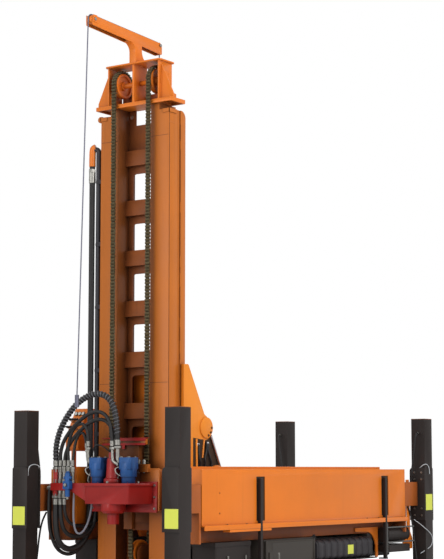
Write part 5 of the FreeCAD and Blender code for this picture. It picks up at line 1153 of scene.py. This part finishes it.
# silencer bands and air cleaner clamps
SILENCER_AXIS = (0.150, 1.4853)
CLEANER_AXIS = (-0.140, 1.5053)
muffler_bands = bmesh.new()
for x, long, radius in ((-1.020, 0.030, 0.0675), (-0.630, 0.030, 0.0675), (-1.101, 0.005, 0.0685),
                        (-0.552, 0.005, 0.0685)):
    turned(muffler_bands, (x, *SILENCER_AXIS), (x + long, *SILENCER_AXIS), radius, sides=32)
eased("silencer_bands", muffler_bands, SOOT, "chassis", 0.001, 1)
cleaner_bands = bmesh.new()
for x, long, radius, sides in ((-0.980, 0.022, 0.0868, 32), (-0.720, 0.022, 0.0868, 32),
                               (-0.560, 0.015, 0.0468, 24), (-1.058, 0.008, 0.070, 24)):
    turned(cleaner_bands, (x, *CLEANER_AXIS), (x + long, *CLEANER_AXIS), radius, sides=sides)
eased("cleaner_bands", cleaner_bands, ZINC, "chassis", 0.001, 1)


# ---------------------------------------------------------------- carrier and lift cylinders
knuckle_bolts = []
for step in range(3):
    turn = math.radians(-70 + 35 * step)
    knuckle_bolts.append(((1.200 - 0.078 * math.cos(turn), 0.4752, 1.980 + 0.078 * math.sin(turn)),
                          (0, 1, 0)))
on_points("knuckle_bolts", sided(knuckle_bolts), BOLT, DARK_BOLTS, "carrier")
# Dark panels in the shape of the lower web openings: painted shade where the openings are.
web_shades = bmesh.new()
outline = [(1.405, 1.880), (1.290, 1.868), (1.195, 1.860), (1.132, 1.885), (0.985, 1.600),
           (1.405, 1.600)]
for side in (-1, 1):
    cut_plate(web_shades, outline, side * 0.4594, side * 0.4625)
bmesh.ops.recalc_face_normals(web_shades, faces=web_shades.faces)
eased("carrier_web_covers", web_shades, SHADE_SHEET_BROWN, "carrier", 0.0012, 1)
struts = bmesh.new()
for side in (-1, 1):
    turned(struts, (1.132, side * 0.4720, 1.905), (0.968, side * 0.4720, 1.585), 0.0135, sides=20)
eased("carrier_guard_rods", struts, CHROME, "carrier", 0.001, 1)
# The ribs and edge strips are in the lighter orange: painted highlights.
drawn("carrier_web_ribs", [("bar", (1.360, side * 0.4660, 1.870), (1.355, side * 0.4660, 1.600),
                            0.011) for side in (-1, 1)]
      + [("bar", (1.235, side * 0.4655, 1.862), (1.262, side * 0.4655, 1.690), 0.010)
         for side in (-1, 1)], LIT_ORANGE, "carrier", 0.002)
web_hoses = []
for side in (-1, 1):
    for start, low, out, z in ((1.335, 1.310, 0.482, 1.82), (1.210, 1.240, 0.486, 1.84),
                               (1.180, 1.130, 0.480, 1.83)):
        web_hoses.append(tube_mesh("hose", (
            (start, side * 0.466, z), (start + 0.004, side * out, z - 0.010),
            (start + 0.010, side * out, z - 0.080), (low + 0.020, side * (out + 0.006), z - 0.160),
            (low, side * out, 1.640), (low, side * 0.474, 1.592)), 0.0095, 12))
joined("carrier_hoses", web_hoses, RUBBER, "carrier")
drawn("carrier_hose_clips", [("box", (x - 0.016, side * 0.4620, z), (x + 0.016, side * 0.4760, z + 0.028))
                             for side in (-1, 1) for x, z in ((1.337, 1.800), (1.182, 1.815))],
      CHROME, "carrier", 0.002)

drawn("carrier_edges", [("box", (1.5445, side * 0.4595, 2.100), (1.5595, side * 0.4650, 2.575))
                        for side in (-1, 1)], LIT_ORANGE, "carrier", 0.002)
claw_bolts = []
for z in (1.450, 1.930):
    for x in (1.570, 1.600):
        for rise in (0.035, 0.115):
            claw_bolts.append(((x, 0.4602, z + rise), (0, 1, 0)))
on_points("claw_bolts", sided(claw_bolts), BOLT, ZINC, "carrier")
pivot_bolts = ring((1.070, 0.5222, 1.500), 0.024, 4, (0, 1, 0), math.pi / 4)
on_points("pivot_bolts", sided(pivot_bolts), SMALL_BOLT, ZINC, "carrier")
way = Vector((1.100, 0, 1.360)).normalized()
foot = Vector((0.100, 0, 0.620))
glands = bmesh.new()
ports = bmesh.new()
for side in (-1, 1):
    across = Vector((0, side * 0.378, 0))
    for start, end, radius in ((0.905, 0.962, 0.0500), (0.965, 0.972, 0.0400)):
        turned(glands, foot + across + way * start, foot + across + way * end, radius, sides=32)
    up = Vector((-way.z, 0, way.x))
    for at in (0.110, 0.890):
        place = foot + across + way * at + up * 0.040
        turned(ports, place, place + up * 0.028, 0.016, sides=6)
eased("lift_glands", glands, DARK_ORANGE, "lift_barrels", 0.002, 1)
eased("lift_ports", ports, ZINC, "lift_barrels", 0.001, 1)


# ---------------------------------------------------------------- operator's console
panel_low, panel_high = Vector((1.680, 0, 1.900)), Vector((1.530, 0, 2.180))
slope = (panel_high - panel_low).normalized()
out = Vector((slope.z, 0, -slope.x))


def on_panel(up, y, lift=0.0):
    """Point on the console's sloping face, measured up it from its lower edge."""
    point = panel_low + slope * up + out * lift
    return Vector((point.x, y, point.z))


gauge_rings = bmesh.new()
gauge_faces = bmesh.new()
for y in (-0.775, -0.820, -0.865):
    turned(gauge_rings, on_panel(0.255, y, -0.002), on_panel(0.255, y, 0.012), 0.021, sides=28)
    turned(gauge_faces, on_panel(0.255, y, 0.008), on_panel(0.255, y, 0.0135), 0.0175, sides=28)
eased("gauge_rings", gauge_rings, BLACK_RUBBER, "chassis", 0.001, 1)
eased("gauge_faces", gauge_faces, DIAL, "chassis", 0.0005, 1)
levers = bmesh.new()
knobs = bmesh.new()
for i in range(6):
    y = -0.765 - 0.022 * i
    for up in (0.075, 0.160):
        root = on_panel(up, y, -0.004)
        turned(levers, root, root + out * 0.060, 0.004, sides=10)
        turned(knobs, root + out * 0.052, root + out * 0.080, 0.0065, 0.0095, 14)
eased("console_levers", levers, ZINC, "chassis", 0.0005, 1)
eased("console_knobs", knobs, BLACK_RUBBER, "chassis", 0.003, 2)
bundle = []
for i, y in enumerate((-0.785, -0.815, -0.845)):
    bundle.append(tube_mesh("hose", ((1.340 + 0.04 * i, y, 1.762), (1.340 + 0.04 * i, y, 1.735),
                                     (1.330 + 0.03 * i, y, 1.690), (1.310 + 0.03 * i, y, 1.640),
                                     (1.280, y, 1.600), (1.200, y, 1.592 + 0.001 * i)), 0.011, 12))
joined("console_hoses", bundle, RUBBER, "chassis")


# ---------------------------------------------------------------- port adaptors and outer hoses
adaptors = bmesh.new()
for y, radius in ((-0.660, 0.030), (-0.604, 0.024), (-0.554, 0.024), (-0.504, 0.022),
                  (-0.454, 0.020)):
    turned(adaptors, (PORT_X, y, 1.4495), (PORT_X, y, 1.485), radius, sides=6)
    turned(adaptors, (PORT_X, y, 1.485), (PORT_X, y, 1.552), radius * 0.88, sides=20)
    turned(adaptors, (PORT_X, y, 1.552), (PORT_X, y, 1.581), radius, sides=6)
for y, radius in ((-0.660, 0.034), (-0.604, 0.027), (-0.554, 0.024)):
    turned(adaptors, (PORT_X, y, 1.3290), (PORT_X, y, 1.3480), radius, sides=6)
    turned(adaptors, (PORT_X, y, 1.3480), (PORT_X, y, 1.3805), radius * 0.9, sides=20)
eased("port_adaptors", adaptors, ZINC, "drill_head", 0.0015, 1, 40)

outer_routes = (
    (0.018, ((2.060, -0.700, 1.425), (2.058, -0.735, 1.425), (2.055, -0.764, 1.395),
             (2.056, -0.770, 1.300), (2.060, -0.768, 1.120), (2.050, -0.755, 0.940),
             (1.990, -0.720, 0.800), (1.880, -0.660, 0.755), (1.770, -0.605, 0.830),
             (1.715, -0.580, 0.980), (1.700, -0.575, 1.140), (1.700, -0.575, 1.300))),
    (0.015, ((2.100, -0.700, 1.400), (2.102, -0.722, 1.400), (2.104, -0.738, 1.375),
             (2.106, -0.742, 1.290), (2.108, -0.740, 1.120), (2.098, -0.728, 0.960),
             (2.040, -0.690, 0.850), (1.930, -0.640, 0.820), (1.800, -0.590, 0.870),
             (1.690, -0.545, 0.990), (1.670, -0.538, 1.140), (1.668, -0.538, 1.300))))
outer_runs = []
outer_ends = bmesh.new()
far_ends = bmesh.new()
for radius, route in outer_routes:
    outer_runs.append(tube_mesh("hose", route, radius, sides=16))
    hose_end(outer_ends, route[0], (0, -1, 0), radius, 0.030)
    x, y, z = route[-1]
    turned(far_ends, (x, y, z - 0.060), (x, y, z), radius + 0.004, sides=20)
    turned(far_ends, (x, y, z), (x, y, z + 0.026), radius + 0.008, sides=6)
outer = joined("outer_supply_hoses", outer_runs, RUBBER, None)
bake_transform(outer)
eased("outer_hose_ends", outer_ends, ZINC, "drill_head", 0.0015, 1, 40)
for x, y in ((1.700, -0.575), (1.668, -0.538)):
    turned(far_ends, (x, y, 1.320), (x, y, 1.420), 0.012, sides=12)
slab(far_ends, (1.640, -0.600, 1.398), (1.730, -0.455, 1.412))
eased("outer_hose_plate", far_ends, ZINC, "mast", 0.0015, 1, 40)

joined("leg_signal_cable", [tube_mesh("cable", (
    (2.318, -0.8215, 1.520), (2.320, -0.8190, 1.575), (2.300, -0.8170, 1.612),
    (2.250, -0.8160, 1.628), (2.190, -0.8150, 1.622), (2.150, -0.8200, 1.600)), 0.0045, 8)],
       PALE_CABLE, "chassis")


# ---------------------------------------------------------------- rear end under the left tray
hook = bmesh.new()
outline = [(-2.038, 1.466), (-2.098, 1.466), (-2.112, 1.100), (-2.112, 0.900), (-2.160, 0.830),
           (-2.160, 0.712), (-1.950, 0.712), (-1.950, 0.800), (-2.030, 0.820), (-2.052, 0.900)]
cut_plate(hook, outline, 0.8440, 0.8560)
bmesh.ops.recalc_face_normals(hook, faces=hook.faces)
eased("rear_hook_plate", hook, ORANGE, "chassis", 0.003, 2)
drawn("rear_hook_pins", [("bar", (-2.000, 0.855, 0.756), (-2.000, 0.870, 0.756), 0.012),
                         ("bar", (-2.078, 0.855, 1.380), (-2.078, 0.868, 1.380), 0.012),
                         ("bar", (-2.078, 0.855, 1.240), (-2.078, 0.872, 1.240), 0.010),
                         ("box", (-2.110, 0.856, 1.228), (-2.040, 0.864, 1.252))], ZINC,
      "chassis", 0.002)
drawn("rear_tool_tubes", [("bar", (-1.600, 0.800, 0.880), (-2.040, 0.800, 0.880), 0.082),
                          ("bar", (-2.034, 0.800, 0.880), (-2.052, 0.800, 0.880), 0.088),
                          ("box", (-2.060, 0.660, 0.690), (-1.600, 0.880, 0.770)),
                          ("box", (-2.060, 0.610, 0.640), (-1.290, 0.622, 1.010))], BLACK,
      "chassis", 0.006, 2)
drawn("rear_tool_rails", [("bar", (-1.500, 0.905, 0.958), (-2.100, 0.905, 0.958), 0.008),
                          ("bar", (-1.500, 0.905, 0.800), (-2.100, 0.905, 0.800), 0.008),
                          ("bar", (-1.520, 0.905, 1.020), (-1.520, 0.905, 0.690), 0.008)], CAST,
      "chassis", 0.001)


# ---------------------------------------------------------------- boxes ahead of the cabinet
BOX_FRONT = 1.580
side_boxes = []
box_lids = []
box_latches = []
for side in (-1, 1):
    side_boxes.append(("box", (1.000, side * 0.580, 0.6515), (BOX_FRONT, side * 0.846, 0.8850)))
    box_lids.append(("box", (0.996, side * 0.576, 0.8600), (BOX_FRONT + 0.004, side * 0.850, 0.9004)))
    box_lids.append(("box", (1.012, side * 0.845, 0.6640), (BOX_FRONT - 0.012, side * 0.8485, 0.8520)))
    box_latches.append(("box", (1.375, side * 0.8480, 0.728), (1.398, side * 0.8600, 0.772)))
    box_latches.append(("box", (1.080, side * 0.8480, 0.728), (1.103, side * 0.8600, 0.772)))
drawn("side_boxes", side_boxes, BLACK, "chassis", 0.004, 2)
drawn("side_box_lids", box_lids, BLACK, "chassis", 0.003, 2)
drawn("side_box_latches", box_latches, ZINC, "chassis", 0.002)


# ---------------------------------------------------------------- studio and camera
def studio():
    """White room: white to camera, glossy and transmission rays, and a weaker light from all round for the
    other rays.
    """
    scene = bpy.context.scene
    scene.view_settings.view_transform = "Standard"
    world = bpy.data.worlds.new("studio")
    scene.world = world
    world.use_nodes = True
    nodes, links = world.node_tree.nodes, world.node_tree.links
    nodes.clear()
    rays = nodes.new("ShaderNodeLightPath")
    seen = nodes.new("ShaderNodeMath")
    seen.operation = "MAXIMUM"
    links.new(rays.outputs["Is Camera Ray"], seen.inputs[0])
    links.new(rays.outputs["Is Glossy Ray"], seen.inputs[1])
    shown = nodes.new("ShaderNodeMath")
    shown.operation = "MAXIMUM"
    links.new(seen.outputs[0], shown.inputs[0])
    links.new(rays.outputs["Is Transmission Ray"], shown.inputs[1])
    fill = nodes.new("ShaderNodeBackground")
    fill.inputs["Strength"].default_value = FILL
    white = nodes.new("ShaderNodeBackground")
    white.inputs["Color"].default_value = (1, 1, 1, 1)
    white.inputs["Strength"].default_value = 1
    blend = nodes.new("ShaderNodeMixShader")
    links.new(shown.outputs[0], blend.inputs["Fac"])
    links.new(fill.outputs[0], blend.inputs[1])
    links.new(white.outputs[0], blend.inputs[2])
    out = nodes.new("ShaderNodeOutputWorld")
    links.new(blend.outputs[0], out.inputs["Surface"])


def lamp(name, place, aim, size, watts):
    """Broad soft lamp."""
    light = bpy.data.lights.new(name, "AREA")
    light.shape = "SQUARE"
    light.size = size
    light.energy = watts
    obj = bpy.data.objects.new(name, light)
    obj.location = place
    obj.rotation_euler = (Vector(aim) - Vector(place)).to_track_quat("-Z", "Y").to_euler()
    bpy.context.scene.collection.objects.link(obj)


def floor():
    """Pale floor that fades into the room and keeps the machine's shadow."""
    mesh = bpy.data.meshes.new("floor")
    half = 60
    mesh.from_pydata([(-half, -half, -0.002), (half, -half, -0.002), (half, half, -0.002),
                      (-half, half, -0.002)], [], [(0, 1, 2, 3)])
    material = bpy.data.materials.new("floor")
    material.use_nodes = True
    nodes, links = material.node_tree.nodes, material.node_tree.links
    shader = nodes["Principled BSDF"]
    shader.inputs["Base Color"].default_value = (0.8, 0.8, 0.8, 1)
    shader.inputs["Roughness"].default_value = 1
    shader.inputs["Specular IOR Level"].default_value = 0
    rays = nodes.new("ShaderNodeLightPath")
    lift = nodes.new("ShaderNodeMath")
    lift.operation = "MULTIPLY"
    lift.inputs[1].default_value = FLOOR_LIFT
    links.new(rays.outputs["Is Camera Ray"], lift.inputs[0])
    shader.inputs["Emission Color"].default_value = (1, 1, 1, 1)
    links.new(lift.outputs[0], shader.inputs["Emission Strength"])
    mesh.materials.append(material)
    obj = bpy.data.objects.new("floor", mesh)
    bpy.context.scene.collection.objects.link(obj)


FILL = 0.55
FLOOR_LIFT = 0.66
CAMERA_AT = (14.48, 10.06, 1.58)
CAMERA_WAY = (-0.816, -0.578)
CAMERA_PITCH = math.radians(6.41)
CAMERA_LENS = 108.8

studio()
lamp("broad lamp", (6, 15, 8), (0, 0, 2), 9, 1500)
lamp("front lamp", (14, -3, 6), (0, 0, 2.5), 7, 500)
lamp("back lamp", (-10, -8, 9), (0, 0, 2), 8, 500)
floor()

lens = bpy.data.cameras.new("camera")
lens.sensor_width = 36
lens.lens = CAMERA_LENS
lens.clip_end = 200
camera = bpy.data.objects.new("camera", lens)
camera.location = CAMERA_AT
look = Vector((CAMERA_WAY[0] * math.cos(CAMERA_PITCH), CAMERA_WAY[1] * math.cos(CAMERA_PITCH),
               math.sin(CAMERA_PITCH)))
camera.rotation_euler = look.to_track_quat("-Z", "Y").to_euler()
bpy.context.scene.collection.objects.link(camera)
bpy.context.scene.camera = camera

for helper in (BOLT, SMALL_BOLT):
    drop(helper)
